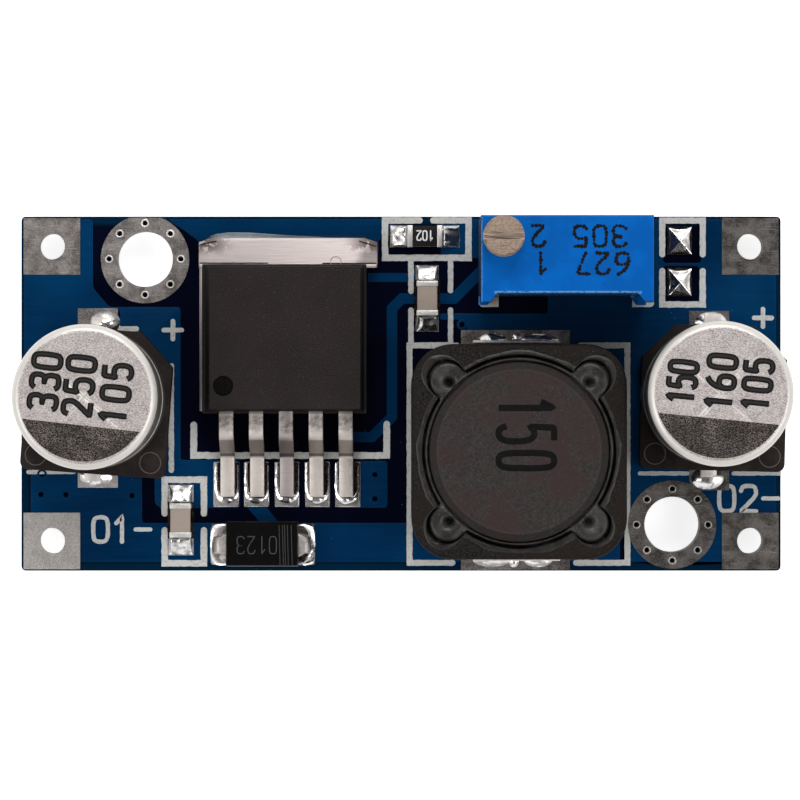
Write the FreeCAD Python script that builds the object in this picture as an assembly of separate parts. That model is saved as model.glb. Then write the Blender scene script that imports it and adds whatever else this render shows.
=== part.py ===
import FreeCAD, Part
import math
import os

os.makedirs("parts", exist_ok=True)

# A step-down voltage module: one printed circuit board with a switching regulator, a shielded
# inductor, two electrolytic capacitors, a flyback diode, three chip parts and a 25 turn trimmer.
# All sizes are in millimetres. X runs along the board's long side, from the input end to the
# output end, and Z points up. The origin is under the middle of the board, level with the tips
# of the trimmer's pins, which are the lowest points. Each part is drawn in a frame of its own,
# whose z = 0 is the upper face of the laminate, and is then moved to its place on the board.

# Board
BOARD_LENGTH = 43.6
BOARD_WIDTH = 20.34
BOARD_THICKNESS = 1.6
BOARD_CORNER_RADIUS = 0.25
COPPER_TO_EDGE = 0.06
PAD_THICKNESS = 0.07
PLATING = 0.05
SOLDER_EDGE = 0.04
PIN_STUB = 0.9
BOARD_TOP = PIN_STUB + BOARD_THICKNESS

# Wire holes, one in a square pad at each corner
WIRE_HOLE_D = 1.5
WIRE_PAD_SIDE = 3.25
WIRE_HOLE_INSET = (1.75, 1.71)

# Two mounting holes on a diagonal, each with a plated ring and a circle of small vias. The first
# is set in from the left and upper edges, the second from the right and lower edges.
MOUNT_HOLE_D = 3.2
MOUNT_RING_D = 5.08
MOUNT_INSETS = [(7.10, 2.44), (6.23, 2.65)]
MOUNT_VIA_COUNT = 8
MOUNT_VIA_CIRCLE_D = 4.12
VIA_HOLE_D = 0.3
VIA_RIM_D = 0.54
VIA_SIDES = 8
BARREL_SIDES = 16
SIGNAL_VIAS = [(-20.62, -4.62), (-20.68, -5.79), (-19.25, -5.80), (-15.45, -5.85),
               (-1.50, -4.65), (-1.50, -6.04), (3.50, 3.97)]

# Regulator: a moulded body on a heat tab with five formed leads
REGULATOR_PLACE = (-6.55, 3.115, 0)
REGULATOR_LENGTH = 8.5
REGULATOR_WIDTH = 9.5
REGULATOR_HEIGHT = 4.5
REGULATOR_PARTING = 2.9
REGULATOR_DRAFT = 0.25
REGULATOR_LEDGE = 0.2
REGULATOR_UNDERSIDE = 0.15
REGULATOR_EDGE_RADIUS = 0.1
REGULATOR_DIMPLE_D = 1.14
REGULATOR_DIMPLE_DEPTH = 0.12
REGULATOR_DIMPLE_INSET = 1.23
TAB_WIDTH = 10.23
TAB_REACH = 1.54
TAB_THICKNESS = 1.27
TAB_OFFSET = 0.1
TAB_CORNER = (0.75, 0.25)
SLUG_WIDTH = 9.45
SLUG_OFFSET = -0.17
SLUG_LENGTH = 7.7
LEAD_COUNT = 5
LEAD_PITCH = 1.70
LEAD_WIDTH = 0.82
LEAD_THICKNESS = 0.5
LEAD_LEVEL = 2.6
LEAD_BEND_RADIUS = 0.5
LEAD_SHOULDER = 1.2
LEAD_DROP = 1.15
LEAD_FOOT = 2.45
LEAD_ROOT = 1.6
REGULATOR_DIE = (3.4, 2.8, 0.3)
REGULATOR_DIE_OFFSET = 1.06
REGULATOR_PAD = (1.4, 2.6)
REGULATOR_PAD_PITCH = 1.765
REGULATOR_PAD_OVERHANG = 0.58
REGULATOR_SOLDER_EDGE = (0.05, 0.1)
REGULATOR_SOLDER_CREST = (0.06, 0.35)
REGULATOR_SOLDER_SHARE = 0.8
TAB_PAD = (10.4, 8.2)
TAB_PAD_OVERHANG = 0.32
TAB_SOLDER_HEIGHT = 0.42

# Flyback diode: a moulded block with two leads bent in under it
DIODE_PLACE = (-7.94, -8.65, -90)
DIODE_BODY = (2.65, 4.3)
DIODE_HEIGHT = 2.3
DIODE_UNDERSIDE = 0.32
DIODE_DRAFT = 0.13
DIODE_EDGE_RADIUS = 0.08
DIODE_LEAD_LEVEL = 1.3
DIODE_LEAD_WIDTH = 1.45
DIODE_LEAD_THICKNESS = 0.2
DIODE_LEAD_OUTSIDE = 2.4
DIODE_LEAD_FOOT = 1.2
DIODE_LEAD_RADIUS = 0.3
DIODE_LEAD_JOG = 0.3
DIODE_DIE = (1.3, 1.3, 0.22)
DIODE_PAD = (2.33, 1.73)
DIODE_PAD_OUTSIDE = 2.93
DIODE_SOLDER_BELOW_LEAD = 0.3

# Chip parts, each a ceramic block with a metal cap at both ends
CHIP_CAP_WALL = 0.04
CHIP_CAP_LENGTH = 0.3
CHIP_SOLDER_SHARE = 0.8
SOLDER_TO_PAD_END = 0.03
RESISTOR_PLACE = (1.367, 9.03, 90)
RESISTOR_SIZE = (1.25, 2.0, 0.5)
RESISTOR_FILM_THICKNESS = 0.03
RESISTOR_PAD = (1.29, 1.3)
RESISTOR_PAD_OUTSIDE = 2.0
UPPER_CHIP_PLACE = (1.50, 5.47, 0)
UPPER_CHIP_SIZE = (1.22, 1.98, 0.85)
UPPER_CHIP_PAD = (1.32, 1.25)
UPPER_CHIP_PAD_OUTSIDE = 1.91
LOWER_CHIP_PLACE = (-12.64, -7.26, 0)
LOWER_CHIP_SIZE = (1.22, 1.95, 0.85)
LOWER_CHIP_PAD = (1.46, 1.3)
LOWER_CHIP_PAD_OUTSIDE = 2.02
SPARE_PLACE = (16.0, 7.6, 0)
SPARE_PAD = (1.4, 1.62)
SPARE_PITCH = 2.38
SPARE_SOLDER_HEIGHT = 0.4
SPARE_SOLDER_EDGE = 0.02
SPARE_SOLDER_PEAK = 0.12

# Electrolytic capacitors: a rolled element in an aluminium can, closed by a rubber bung, on a
# square base. Each was set down slightly turned, so the pads have places of their own.
INPUT_CAPACITOR_PLACE = (-17.5, -0.3, -2.7)
OUTPUT_CAPACITOR_PLACE = (17.75, -0.1, -1.5)
INPUT_CAPACITOR_PADS = (-17.41, -0.25, 0)
OUTPUT_CAPACITOR_PADS = (17.69, -0.40, 0)
CAPACITOR_PAD = (2.3, 3.6)
CAPACITOR_PAD_OUTSIDE = 5.15
CAN_D = 8.1
CAN_TOP = 10.2
CAN_WALL = 0.25
CAN_RIM_RADIUS = 0.5
CAN_LIP_WIDTH = 0.95
CAN_GROOVE_LEVEL = 2.5
CAN_GROOVE_HALF = 0.45
CAN_GROOVE_DEPTH = 0.4
CAN_CLEARANCE = 0.12
BASE_MARGIN = 0.1
BASE_SIDE = CAN_D + 2 * BASE_MARGIN
BASE_UNDERSIDE = 0.1
BASE_PLATE = 0.45
BASE_CORNER_HEIGHT = 1.35
BASE_CHAMFER = 1.9
BASE_MARK_D = 1.1
BASE_MARK_DEPTH = 0.08
BASE_MARK_INSET = 0.85
BUNG_TOP = 3.2
ROLL_CLEARANCE = 0.4
ROLL_TOP_GAP = 0.5
CAPACITOR_LEAD_PITCH = 3.1
CAPACITOR_LEAD_WIRE_D = 0.6
CAPACITOR_LEAD_WIDTH = 0.95
CAPACITOR_LEAD_THICKNESS = 0.3
CAPACITOR_LEAD_REACH = 0.55
LEAD_CLEARANCE = 0.05
CAPACITOR_SOLDER_FOOT = (0.45, 0.25)
CAPACITOR_SOLDER_CREST = (0.1, 0.075)
CAPACITOR_SOLDER_OVER = 0.03

# Inductor: a drum core wound with wire inside a square ferrite ring, glued at the corners
INDUCTOR_PLACE = (6.60, -3.25, 0)
INDUCTOR_PADS = (6.57, -3.24, 0)
INDUCTOR_PAD = (6.26, 3.9)
INDUCTOR_PAD_OUTSIDE = 6.89
SHIELD_SIDE = 12.05
SHIELD_CORNER_RADIUS = 2.3
SHIELD_HEIGHT = 7.4
SHIELD_EDGE_RADIUS = 0.25
SHIELD_BORE_GAP = 0.4
SHIELD_TERMINAL_GAP = 0.12
EAR_D = 2.2
EAR_OFFSET = 0.35
EAR_COUNT = 4
DRUM_FLANGE_D = 10.1
DRUM_FLANGE_THICKNESS = 1.1
DRUM_POST_D = 4.8
DRUM_HEIGHT = 7.3
DRUM_RIM = (0.42, 0.14)
WINDING_BELOW_FLANGE = 0.45
GLUE_DEPTH = 0.9
GLUE_BELOW_TOP = 0.35
TERMINAL_WIDTH = 5.0
TERMINAL_THICKNESS = 0.2
TERMINAL_INSIDE = 3.0
TERMINAL_LUG = 1.5
TERMINAL_GAP = 0.08
TERMINAL_BEND_RADIUS = 0.25
TERMINAL_SOLDER_TOP = 0.9

# Trimmer: a slotted screw that drives a toothed wheel, which carries a wiper over a resistor
TRIMMER_PLACE = (9.225, 7.485, 0)
TRIMMER_LENGTH = 9.57
TRIMMER_WIDTH = 4.83
TRIMMER_HEIGHT = 10.0
TRIMMER_STANDOFF = 0.4
TRIMMER_SIDE_WALL = 0.5
TRIMMER_REAR_WALL = 0.515
TRIMMER_TOP_WALL = 0.7
TRIMMER_BOTTOM_WALL = 0.6
TRIMMER_EDGE_RADIUS = 0.12
TRIMMER_FOOT_TIP = 0.5
TRIMMER_FOOT_ROOT = 0.9
TRIMMER_FOOT_REACH = 0.5
TRIMMER_FOOT_HEIGHT = 0.8
STANDOFF_SIZE = (1.0, 0.6)
SCREW_INSET = (1.24, 1.19)
SCREW_HEAD_D = 2.285
SCREW_HEAD_HEIGHT = 1.35
SCREW_HEAD_GAP = 0.05
SCREW_HEAD_CHAMFER = 0.1
SCREW_SLOT = (0.4, 0.55)
SCREW_NECK_D = 1.1
SCREW_SHANK_D = 1.0
SCREW_COLLAR_D = 1.7
SCREW_COLLAR_HEIGHT = 0.25
SCREW_JOURNAL_D = 0.9
SCREW_JOURNAL_DEPTH = 0.35
SCREW_CHANNEL_D = 1.84
SCREW_PITCH_D = 1.4
RUNNING_CLEARANCE = 0.05
SEAL_RING_SECTION = 0.26
SEAL_RING_POCKET = 0.35
WHEEL_TEETH = 30
WHEEL_PITCH_D = 5.73
WHEEL_TOOTH_DEPTH = 0.34
WHEEL_ADDENDUM_SHARE = 0.35
WHEEL_ROOT_SHARE = 0.36
WHEEL_CREST_SHARE = 0.14
WHEEL_THICKNESS = 1.2
WHEEL_ABOVE_FLOOR = 3.8
SPIGOT_D = 1.6
SPIGOT_END = 0.35
ELEMENT_THICKNESS = 0.7
ELEMENT_SIDE_GAP = 0.085
ELEMENT_TOP_GAP = 0.5
ELEMENT_FACE = -0.65
WIPER_THICKNESS = 0.12
WIPER_RING_D = 4.6
WIPER_ARM_WIDTH = 0.7
WIPER_ARM_INSET = 0.5
WIPER_ARM_ROOT = 1.0
WIPER_ARM_RISE = 0.15
WIPER_TIP_LENGTH = 0.6
WIPER_BEND_RADIUS = 0.12
PIN_D = 0.5
PIN_PITCH = 2.54
PIN_TOP = 1.9
PIN_HOLE_D = 0.8
PIN_PAD_D = 1.6
PIN_SOLDER_HEIGHT = 0.6
PIN_SOLDER_EDGE = 0.05

X_AXIS = FreeCAD.Vector(1, 0, 0)
Y_AXIS = FreeCAD.Vector(0, 1, 0)
Z_AXIS = FreeCAD.Vector(0, 0, 1)
MIDDLE = FreeCAD.Vector(0, 0, 0)

nodes = {}


def vec(x, y, z):
    return FreeCAD.Vector(x, y, z)


def block(size, x=0, y=0, z=0):
    """A box of the given three sizes, centred on x and y and standing on z."""
    return Part.makeBox(size[0], size[1], size[2], vec(x - size[0] / 2, y - size[1] / 2, z))


def disc(diameter, height, x=0, y=0, z=0):
    """An upright cylinder that stands on z."""
    return Part.makeCylinder(diameter / 2, height, vec(x, y, z))


def flat_sided(sides, diameter, height, x, y, z):
    """An upright prism that stands in for a small cylinder: diameter is across its flats."""
    radius = diameter / 2 / math.cos(math.pi / sides)
    corners = []
    for index in range(sides):
        angle = 2 * math.pi * (index + 0.5) / sides
        corners.append(vec(x + radius * math.cos(angle), y + radius * math.sin(angle), z))
    return prism(corners, Z_AXIS * height)


def via_disc(diameter, height, x, y, z):
    """The outline of a via, the smallest kind of plated hole."""
    return flat_sided(VIA_SIDES, diameter, height, x, y, z)


def barrel_disc(diameter, height, x, y, z):
    """The outside of the plating in a larger hole, where it meets the laminate."""
    return flat_sided(BARREL_SIDES, diameter, height, x, y, z)


def prism(points, direction):
    """A solid made by pushing a closed outline of points along a direction."""
    wire = Part.makePolygon(points + [points[0]])
    return Part.Face(wire).extrude(direction)


def turned(points):
    """A solid of revolution about Z from an outline of (radius, height) points."""
    outline = Part.makePolygon([vec(r, 0, z) for r, z in points + [points[0]]])
    return Part.Face(outline).revolve(MIDDLE, Z_AXIS, 360)


def tapered_block(low, high, z_low, z_high):
    """A block whose rectangular section changes evenly from low to high."""
    wires = []
    for size, z in ((low, z_low), (high, z_high)):
        x = size[0] / 2
        y = size[1] / 2
        corners = [vec(-x, -y, z), vec(x, -y, z), vec(x, y, z), vec(-x, y, z), vec(-x, -y, z)]
        wires.append(Part.makePolygon(corners))
    return Part.makeLoft(wires, True)


def round_upright_edges(solid, radius):
    """Rounds every edge that runs the full height of a solid."""
    height = solid.BoundBox.ZLength
    upright = [edge for edge in solid.Edges if edge.BoundBox.ZLength > 0.9 * height]
    return solid.makeFillet(radius, upright)


def round_top_edges(solid, radius):
    """Rounds the edges that lie in the highest plane of a solid."""
    top = solid.BoundBox.ZMax
    level = [edge for edge in solid.Edges if edge.BoundBox.ZMin > top - 0.001]
    return solid.makeFillet(radius, level)


def bent_strip(path, thickness, width, radius):
    """Sheet metal strip along X-wide bends: path holds (y, z) points of its middle line."""
    half = thickness / 2
    points = [vec(-width / 2, y, z) for y, z in path]
    runs = [(end - start).normalize() for start, end in zip(points, points[1:])]
    sides = {1: [], -1: []}
    for side in sides:
        here = points[0] + runs[0].cross(X_AXIS) * half * side
        for index in range(1, len(points) - 1):
            before = runs[index - 1]
            after = runs[index]
            turn = before.getAngle(after)
            reach = radius * math.tan(turn / 2)
            inward = before.cross(X_AXIS)
            if inward.dot(after) < 0:
                inward = inward * -1
            corner = points[index]
            start = corner - before * reach
            end = corner + after * reach
            centre = start + inward * radius
            start = start + before.cross(X_AXIS) * half * side
            end = end + after.cross(X_AXIS) * half * side
            bend = (start - centre).Length
            middle = centre + (corner - centre).normalize() * bend
            sides[side].append(Part.LineSegment(here, start).toShape())
            sides[side].append(Part.Arc(start, middle, end).toShape())
            here = end
        last = points[-1] + runs[-1].cross(X_AXIS) * half * side
        sides[side].append(Part.LineSegment(here, last).toShape())
    first_cut = Part.LineSegment(sides[1][0].Vertexes[0].Point, sides[-1][0].Vertexes[0].Point)
    last_cut = Part.LineSegment(sides[1][-1].Vertexes[-1].Point, sides[-1][-1].Vertexes[-1].Point)
    edges = sides[1] + [last_cut.toShape()] + sides[-1] + [first_cut.toShape()]
    wire = Part.Wire(Part.__sortEdges__(edges))
    return Part.Face(wire).extrude(X_AXIS * width)


def solder_fillet(width, toe, heel, height):
    """Hollow-faced solder along X: from the pad's end at y = toe up the face at y = heel."""
    x = -width / 2
    low = PAD_THICKNESS + SOLDER_EDGE
    foot = vec(x, toe, low)
    crest = vec(x, heel + SOLDER_EDGE, height)
    hollow = vec(x, heel + SOLDER_EDGE, low)
    dip = 1 - math.sqrt(0.5)
    middle = hollow + (foot - hollow) * dip + (crest - hollow) * dip
    corners = [crest, vec(x, heel, height), vec(x, heel, PAD_THICKNESS),
               vec(x, toe, PAD_THICKNESS), foot]
    edges = [Part.LineSegment(start, end).toShape() for start, end in zip(corners, corners[1:])]
    edges.append(Part.Arc(foot, middle, crest).toShape())
    return Part.Face(Part.Wire(edges)).extrude(X_AXIS * width)


def turn(shape, angle, axis=Z_AXIS, centre=MIDDLE):
    """A copy of a shape, turned by an angle in degrees."""
    copy = shape.copy()
    copy.rotate(centre, axis, angle)
    return copy


def both_ends(shape):
    """A shape at +Y and the same shape turned half round to -Y."""
    return [shape, turn(shape, 180)]


def cut_all(solid, tools):
    """A solid less every tool."""
    return solid.cut(Part.makeCompound(tools))


def fuse_all(solids):
    """One solid from several that touch."""
    return solids[0].multiFuse(solids[1:]).removeSplitter()


def add(node, place, shapes):
    """Puts shapes at their place on the board and files their solids under a node's name."""
    x, y, angle = place
    for shape in shapes:
        for solid in turn(shape, angle).Solids:
            solid.translate(vec(x, y, BOARD_TOP))
            nodes.setdefault(node, []).append(solid)


# The laminate and the plated holes through it

def mount_centres():
    """The two mounting holes, upper left and lower right."""
    for side, (x_inset, y_inset) in zip((-1, 1), MOUNT_INSETS):
        yield (side * (BOARD_LENGTH / 2 - x_inset), -side * (BOARD_WIDTH / 2 - y_inset))


def mount_vias(centre):
    """The small vias round one mounting hole."""
    for index in range(MOUNT_VIA_COUNT):
        angle = 2 * math.pi * index / MOUNT_VIA_COUNT
        yield (centre[0] + MOUNT_VIA_CIRCLE_D / 2 * math.cos(angle),
               centre[1] + MOUNT_VIA_CIRCLE_D / 2 * math.sin(angle))


def wire_centres():
    """The four wire holes."""
    for x_side in (-1, 1):
        for y_side in (-1, 1):
            yield (x_side * (BOARD_LENGTH / 2 - WIRE_HOLE_INSET[0]),
                   y_side * (BOARD_WIDTH / 2 - WIRE_HOLE_INSET[1]))


def pin_centres():
    """The trimmer's three pins, in the trimmer's own frame."""
    y = ELEMENT_FACE + PIN_D / 2
    for step in (-1, 0, 1):
        yield (step * PIN_PITCH, y)


def drill(diameter, x, y, shape=disc):
    """A hole through the board and the pads on both its faces."""
    depth = BOARD_THICKNESS + 4 * PAD_THICKNESS
    return shape(diameter, depth, x, y, -BOARD_THICKNESS - 2 * PAD_THICKNESS)


def barrel(hole_d, x, y):
    """The plating in one hole, level with the outside of the pads, before it is drilled."""
    height = BOARD_THICKNESS + 2 * PAD_THICKNESS
    return barrel_disc(hole_d + 2 * PLATING, height, x, y, -BOARD_THICKNESS - PAD_THICKNESS)


def on_both_faces(pad):
    """A pad on the upper face and the same pad on the lower face."""
    lower = pad.copy()
    lower.translate(vec(0, 0, -BOARD_THICKNESS - PAD_THICKNESS))
    return [pad, lower]


def plated_holes(pad, holes):
    """A pad on both faces joined by plated holes: holes is a list of (diameter, x, y)."""
    copper = fuse_all(on_both_faces(pad) + [barrel(*hole) for hole in holes])
    return cut_all(copper, [drill(*hole) for hole in holes])


def build_board():
    board = block((BOARD_LENGTH, BOARD_WIDTH, BOARD_THICKNESS), z=-BOARD_THICKNESS)
    board = round_upright_edges(board, BOARD_CORNER_RADIUS)
    copper_limit = block((BOARD_LENGTH - 2 * COPPER_TO_EDGE, BOARD_WIDTH - 2 * COPPER_TO_EDGE,
                          PAD_THICKNESS))
    on_board = (0, 0, 0)
    all_holes = []
    for x, y in wire_centres():
        hole = (WIRE_HOLE_D, x, y)
        pad = block((WIRE_PAD_SIDE, WIRE_PAD_SIDE, PAD_THICKNESS), x, y).common(copper_limit)
        add("wire_pads", on_board, [plated_holes(pad, [hole])])
        all_holes.append(hole)
    for centre in mount_centres():
        hole = (MOUNT_HOLE_D, centre[0], centre[1])
        small_drills = [drill(VIA_HOLE_D, x, y, via_disc) for x, y in mount_vias(centre)]
        ring = disc(MOUNT_RING_D, PAD_THICKNESS, centre[0], centre[1]).common(copper_limit)
        plating = cut_all(plated_holes(ring, [hole]), small_drills)
        add("mounting_hole_plating", on_board, [plating])
        all_holes.append(hole)
        board = cut_all(board, small_drills)
    for x, y in SIGNAL_VIAS:
        via = via_disc(VIA_RIM_D, BOARD_THICKNESS + 2 * PAD_THICKNESS, x, y,
                       -BOARD_THICKNESS - PAD_THICKNESS)
        add("signal_vias", on_board, [via.cut(drill(VIA_HOLE_D, x, y, via_disc))])
        board = board.cut(drill(VIA_RIM_D, x, y, via_disc))
    for x, y in pin_centres():
        hole = (PIN_HOLE_D, x + TRIMMER_PLACE[0], y + TRIMMER_PLACE[1])
        pad = disc(PIN_PAD_D, PAD_THICKNESS, hole[1], hole[2])
        add("trimmer_hole_plating", on_board, [plated_holes(pad, [hole])])
        all_holes.append(hole)
    drills = [drill(hole_d + 2 * PLATING, x, y, barrel_disc) for hole_d, x, y in all_holes]
    add("circuit_board", on_board, [cut_all(board, drills)])


def pad_pair(node, place, size, outside):
    """Two pads whose outer ends are at the given distance from the middle."""
    pad = block((size[0], size[1], PAD_THICKNESS), y=outside - size[1] / 2)
    add(node, place, both_ends(pad))


def keep_off_rings(node):
    """Trims the pads of a node where they would run into a mounting hole's ring."""
    height = BOARD_TOP + PAD_THICKNESS
    rings = [disc(MOUNT_RING_D + 2 * COPPER_TO_EDGE, 2 * height, x, y) for x, y in mount_centres()]
    nodes[node] = [cut_all(pad, rings).Solids[0] for pad in nodes[node]]


# Regulator

def lead_positions():
    """The five leads across the body."""
    for index in range(LEAD_COUNT):
        yield (index - (LEAD_COUNT - 1) / 2) * LEAD_PITCH


def regulator_lead(x):
    """A lead that leaves the body high up, steps down and lies flat on its pad."""
    edge = -REGULATOR_LENGTH / 2
    foot_level = PAD_THICKNESS + LEAD_THICKNESS / 2
    shoulder = edge - LEAD_SHOULDER
    heel = shoulder - LEAD_DROP
    path = [(edge + LEAD_ROOT, LEAD_LEVEL), (shoulder, LEAD_LEVEL), (heel, foot_level),
            (heel - LEAD_FOOT, foot_level)]
    lead = bent_strip(path, LEAD_THICKNESS, LEAD_WIDTH, LEAD_BEND_RADIUS)
    lead.translate(vec(x, 0, 0))
    return lead


def regulator_heat_tab():
    """The copper slug and its exposed tab, with the middle lead that grows out of it."""
    body_end = REGULATOR_LENGTH / 2
    tab_end = body_end + TAB_REACH
    half = TAB_WIDTH / 2
    cut_x, cut_y = TAB_CORNER
    tab_outline = [vec(-half, body_end, 0), vec(half, body_end, 0),
                   vec(half, tab_end - cut_y, 0), vec(half - cut_x, tab_end, 0),
                   vec(-half + cut_x, tab_end, 0), vec(-half, tab_end - cut_y, 0)]
    tab = prism(tab_outline, Z_AXIS * TAB_THICKNESS)
    tab.translate(vec(TAB_OFFSET, 0, PAD_THICKNESS))
    slug = block((SLUG_WIDTH, SLUG_LENGTH, TAB_THICKNESS), SLUG_OFFSET,
                 body_end - SLUG_LENGTH / 2, PAD_THICKNESS)
    riser_y = -REGULATOR_LENGTH / 2 + LEAD_ROOT + LEAD_THICKNESS / 2
    riser_top = LEAD_LEVEL + LEAD_THICKNESS / 2
    riser = block((LEAD_WIDTH, LEAD_THICKNESS, riser_top - PAD_THICKNESS), 0, riser_y,
                  PAD_THICKNESS)
    return fuse_all([slug, tab, riser, regulator_lead(0)])


def regulator_body():
    """The moulding: drafted sides that meet in a ledge at the parting line, and a dimple."""
    width = REGULATOR_WIDTH
    length = REGULATOR_LENGTH
    in_low = REGULATOR_DRAFT
    in_ledge = 2 * REGULATOR_LEDGE
    in_high = in_ledge + 2 * REGULATOR_DRAFT
    lower = tapered_block((width - in_low, length - in_low), (width, length),
                          REGULATOR_UNDERSIDE, REGULATOR_PARTING)
    upper = tapered_block((width - in_ledge, length - in_ledge),
                          (width - in_high, length - in_high),
                          REGULATOR_PARTING, REGULATOR_HEIGHT)
    upper = round_top_edges(upper, REGULATOR_EDGE_RADIUS)
    dimple_x = -(width - in_high) / 2 + REGULATOR_DIMPLE_INSET
    dimple_y = -(length - in_high) / 2 + REGULATOR_DIMPLE_INSET
    dimple = disc(REGULATOR_DIMPLE_D, REGULATOR_DIMPLE_DEPTH, dimple_x, dimple_y,
                  REGULATOR_HEIGHT - REGULATOR_DIMPLE_DEPTH)
    return fuse_all([lower, upper]).cut(dimple)


def build_regulator():
    tab = regulator_heat_tab()
    die = block(REGULATOR_DIE, 0, REGULATOR_DIE_OFFSET, PAD_THICKNESS + TAB_THICKNESS)
    names = ["input", "output", None, "feedback", "enable"]
    leads = []
    for name, x in zip(names, lead_positions()):
        if name is not None:
            lead = regulator_lead(x)
            add("regulator_" + name + "_lead", REGULATOR_PLACE, [lead])
            leads.append(lead)
    add("regulator_heat_tab", REGULATOR_PLACE, [tab])
    add("regulator_die", REGULATOR_PLACE, [die])
    add("regulator_body", REGULATOR_PLACE, [cut_all(regulator_body(), leads + [tab, die])])

    toe = -REGULATOR_LENGTH / 2 - LEAD_SHOULDER - LEAD_DROP - LEAD_FOOT
    pad_y = toe - REGULATOR_PAD_OVERHANG + REGULATOR_PAD[1] / 2
    solder_base = [side - 2 * edge for side, edge in zip(REGULATOR_PAD, REGULATOR_SOLDER_EDGE)]
    solder_top = (LEAD_WIDTH + 2 * REGULATOR_SOLDER_CREST[0],
                  REGULATOR_PAD[1] - 2 * REGULATOR_SOLDER_CREST[1])
    for index, x in enumerate(lead_positions()):
        pad_x = x * REGULATOR_PAD_PITCH / LEAD_PITCH
        pad = block((REGULATOR_PAD[0], REGULATOR_PAD[1], PAD_THICKNESS), pad_x, pad_y)
        add("regulator_pads", REGULATOR_PLACE, [pad])
        solder = tapered_block(solder_base, solder_top, PAD_THICKNESS,
                               PAD_THICKNESS + REGULATOR_SOLDER_SHARE * LEAD_THICKNESS)
        solder.translate(vec(pad_x, pad_y, 0))
        add("regulator_solder", REGULATOR_PLACE, [solder.cut(regulator_lead(x))])
    tab_end = REGULATOR_LENGTH / 2 + TAB_REACH
    tab_pad = block((TAB_PAD[0], TAB_PAD[1], PAD_THICKNESS), TAB_OFFSET,
                    tab_end + TAB_PAD_OVERHANG - TAB_PAD[1] / 2)
    add("regulator_pads", REGULATOR_PLACE, [tab_pad])
    fillet = solder_fillet(TAB_WIDTH - 2 * TAB_CORNER[0], tab_end + TAB_PAD_OVERHANG, tab_end,
                           TAB_SOLDER_HEIGHT)
    fillet.translate(vec(TAB_OFFSET, 0, 0))
    add("regulator_solder", REGULATOR_PLACE, [fillet])


# Diode

def diode_lead(inner_path):
    """A lead that leaves the end of the body and folds down and in under it."""
    outside = DIODE_LEAD_OUTSIDE - DIODE_LEAD_THICKNESS / 2
    foot = PAD_THICKNESS + DIODE_LEAD_THICKNESS / 2
    path = inner_path + [(outside, DIODE_LEAD_LEVEL), (outside, foot), (DIODE_LEAD_FOOT, foot)]
    return bent_strip(path, DIODE_LEAD_THICKNESS, DIODE_LEAD_WIDTH, DIODE_LEAD_RADIUS)


def build_diode():
    half_die = DIODE_DIE[1] / 2
    die_bottom = DIODE_LEAD_LEVEL + DIODE_LEAD_THICKNESS / 2
    die_top = die_bottom + DIODE_DIE[2]
    over_die = die_top + DIODE_LEAD_THICKNESS / 2
    cathode = diode_lead([(-half_die, DIODE_LEAD_LEVEL)])
    anode = diode_lead([(-half_die, over_die), (half_die + DIODE_LEAD_JOG, over_die),
                        (half_die + 2 * DIODE_LEAD_JOG, DIODE_LEAD_LEVEL)])
    anode = turn(anode, 180)
    die = block(DIODE_DIE, z=die_bottom)
    draft = 2 * DIODE_DRAFT
    drawn_in = (DIODE_BODY[0] - draft, DIODE_BODY[1] - draft)
    lower = tapered_block(drawn_in, DIODE_BODY, DIODE_UNDERSIDE, DIODE_LEAD_LEVEL)
    upper = tapered_block(DIODE_BODY, drawn_in, DIODE_LEAD_LEVEL, DIODE_HEIGHT)
    upper = round_top_edges(upper, DIODE_EDGE_RADIUS)
    body = fuse_all([lower, upper])
    add("diode_body", DIODE_PLACE, [cut_all(body, [cathode, anode, die])])
    add("diode_cathode_lead", DIODE_PLACE, [cathode])
    add("diode_anode_lead", DIODE_PLACE, [anode])
    add("diode_die", DIODE_PLACE, [die])
    pad_pair("small_part_pads", DIODE_PLACE, DIODE_PAD, DIODE_PAD_OUTSIDE)
    solder = solder_fillet(DIODE_PAD[0] - 2 * SOLDER_TO_PAD_END, DIODE_PAD_OUTSIDE - SOLDER_TO_PAD_END,
                           DIODE_LEAD_OUTSIDE, DIODE_LEAD_LEVEL - DIODE_SOLDER_BELOW_LEAD)
    add("small_part_solder", DIODE_PLACE, both_ends(solder))


# Chip parts

def chip_core(size):
    """The ceramic block of a chip part, inside its end caps."""
    wall = 2 * CHIP_CAP_WALL
    return block((size[0] - wall, size[1] - wall, size[2] - wall), z=PAD_THICKNESS + CHIP_CAP_WALL)


def chip_end_caps(size, core):
    """A cup of metal over each end of a ceramic block."""
    cap = block((size[0], CHIP_CAP_LENGTH, size[2]), y=(size[1] - CHIP_CAP_LENGTH) / 2,
                z=PAD_THICKNESS)
    return both_ends(cap.cut(core))


def build_chip(name, place, size, pad, pad_outside, body_name):
    core = chip_core(size)
    add(name + body_name, place, [core])
    add(name + "_end_caps", place, chip_end_caps(size, core))
    pad_pair("small_part_pads", place, pad, pad_outside)
    solder = solder_fillet(size[0], pad_outside - SOLDER_TO_PAD_END, size[1] / 2,
                           CHIP_SOLDER_SHARE * size[2])
    add("small_part_solder", place, both_ends(solder))


def build_resistor_film():
    """The black coat over the resistor's upper face, between its end caps."""
    film_size = (RESISTOR_SIZE[0] - 2 * CHIP_CAP_WALL, RESISTOR_SIZE[1] - 2 * CHIP_CAP_LENGTH,
                 RESISTOR_FILM_THICKNESS)
    film = block(film_size, z=PAD_THICKNESS + RESISTOR_SIZE[2] - CHIP_CAP_WALL)
    add("resistor_film", RESISTOR_PLACE, [film])


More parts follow.
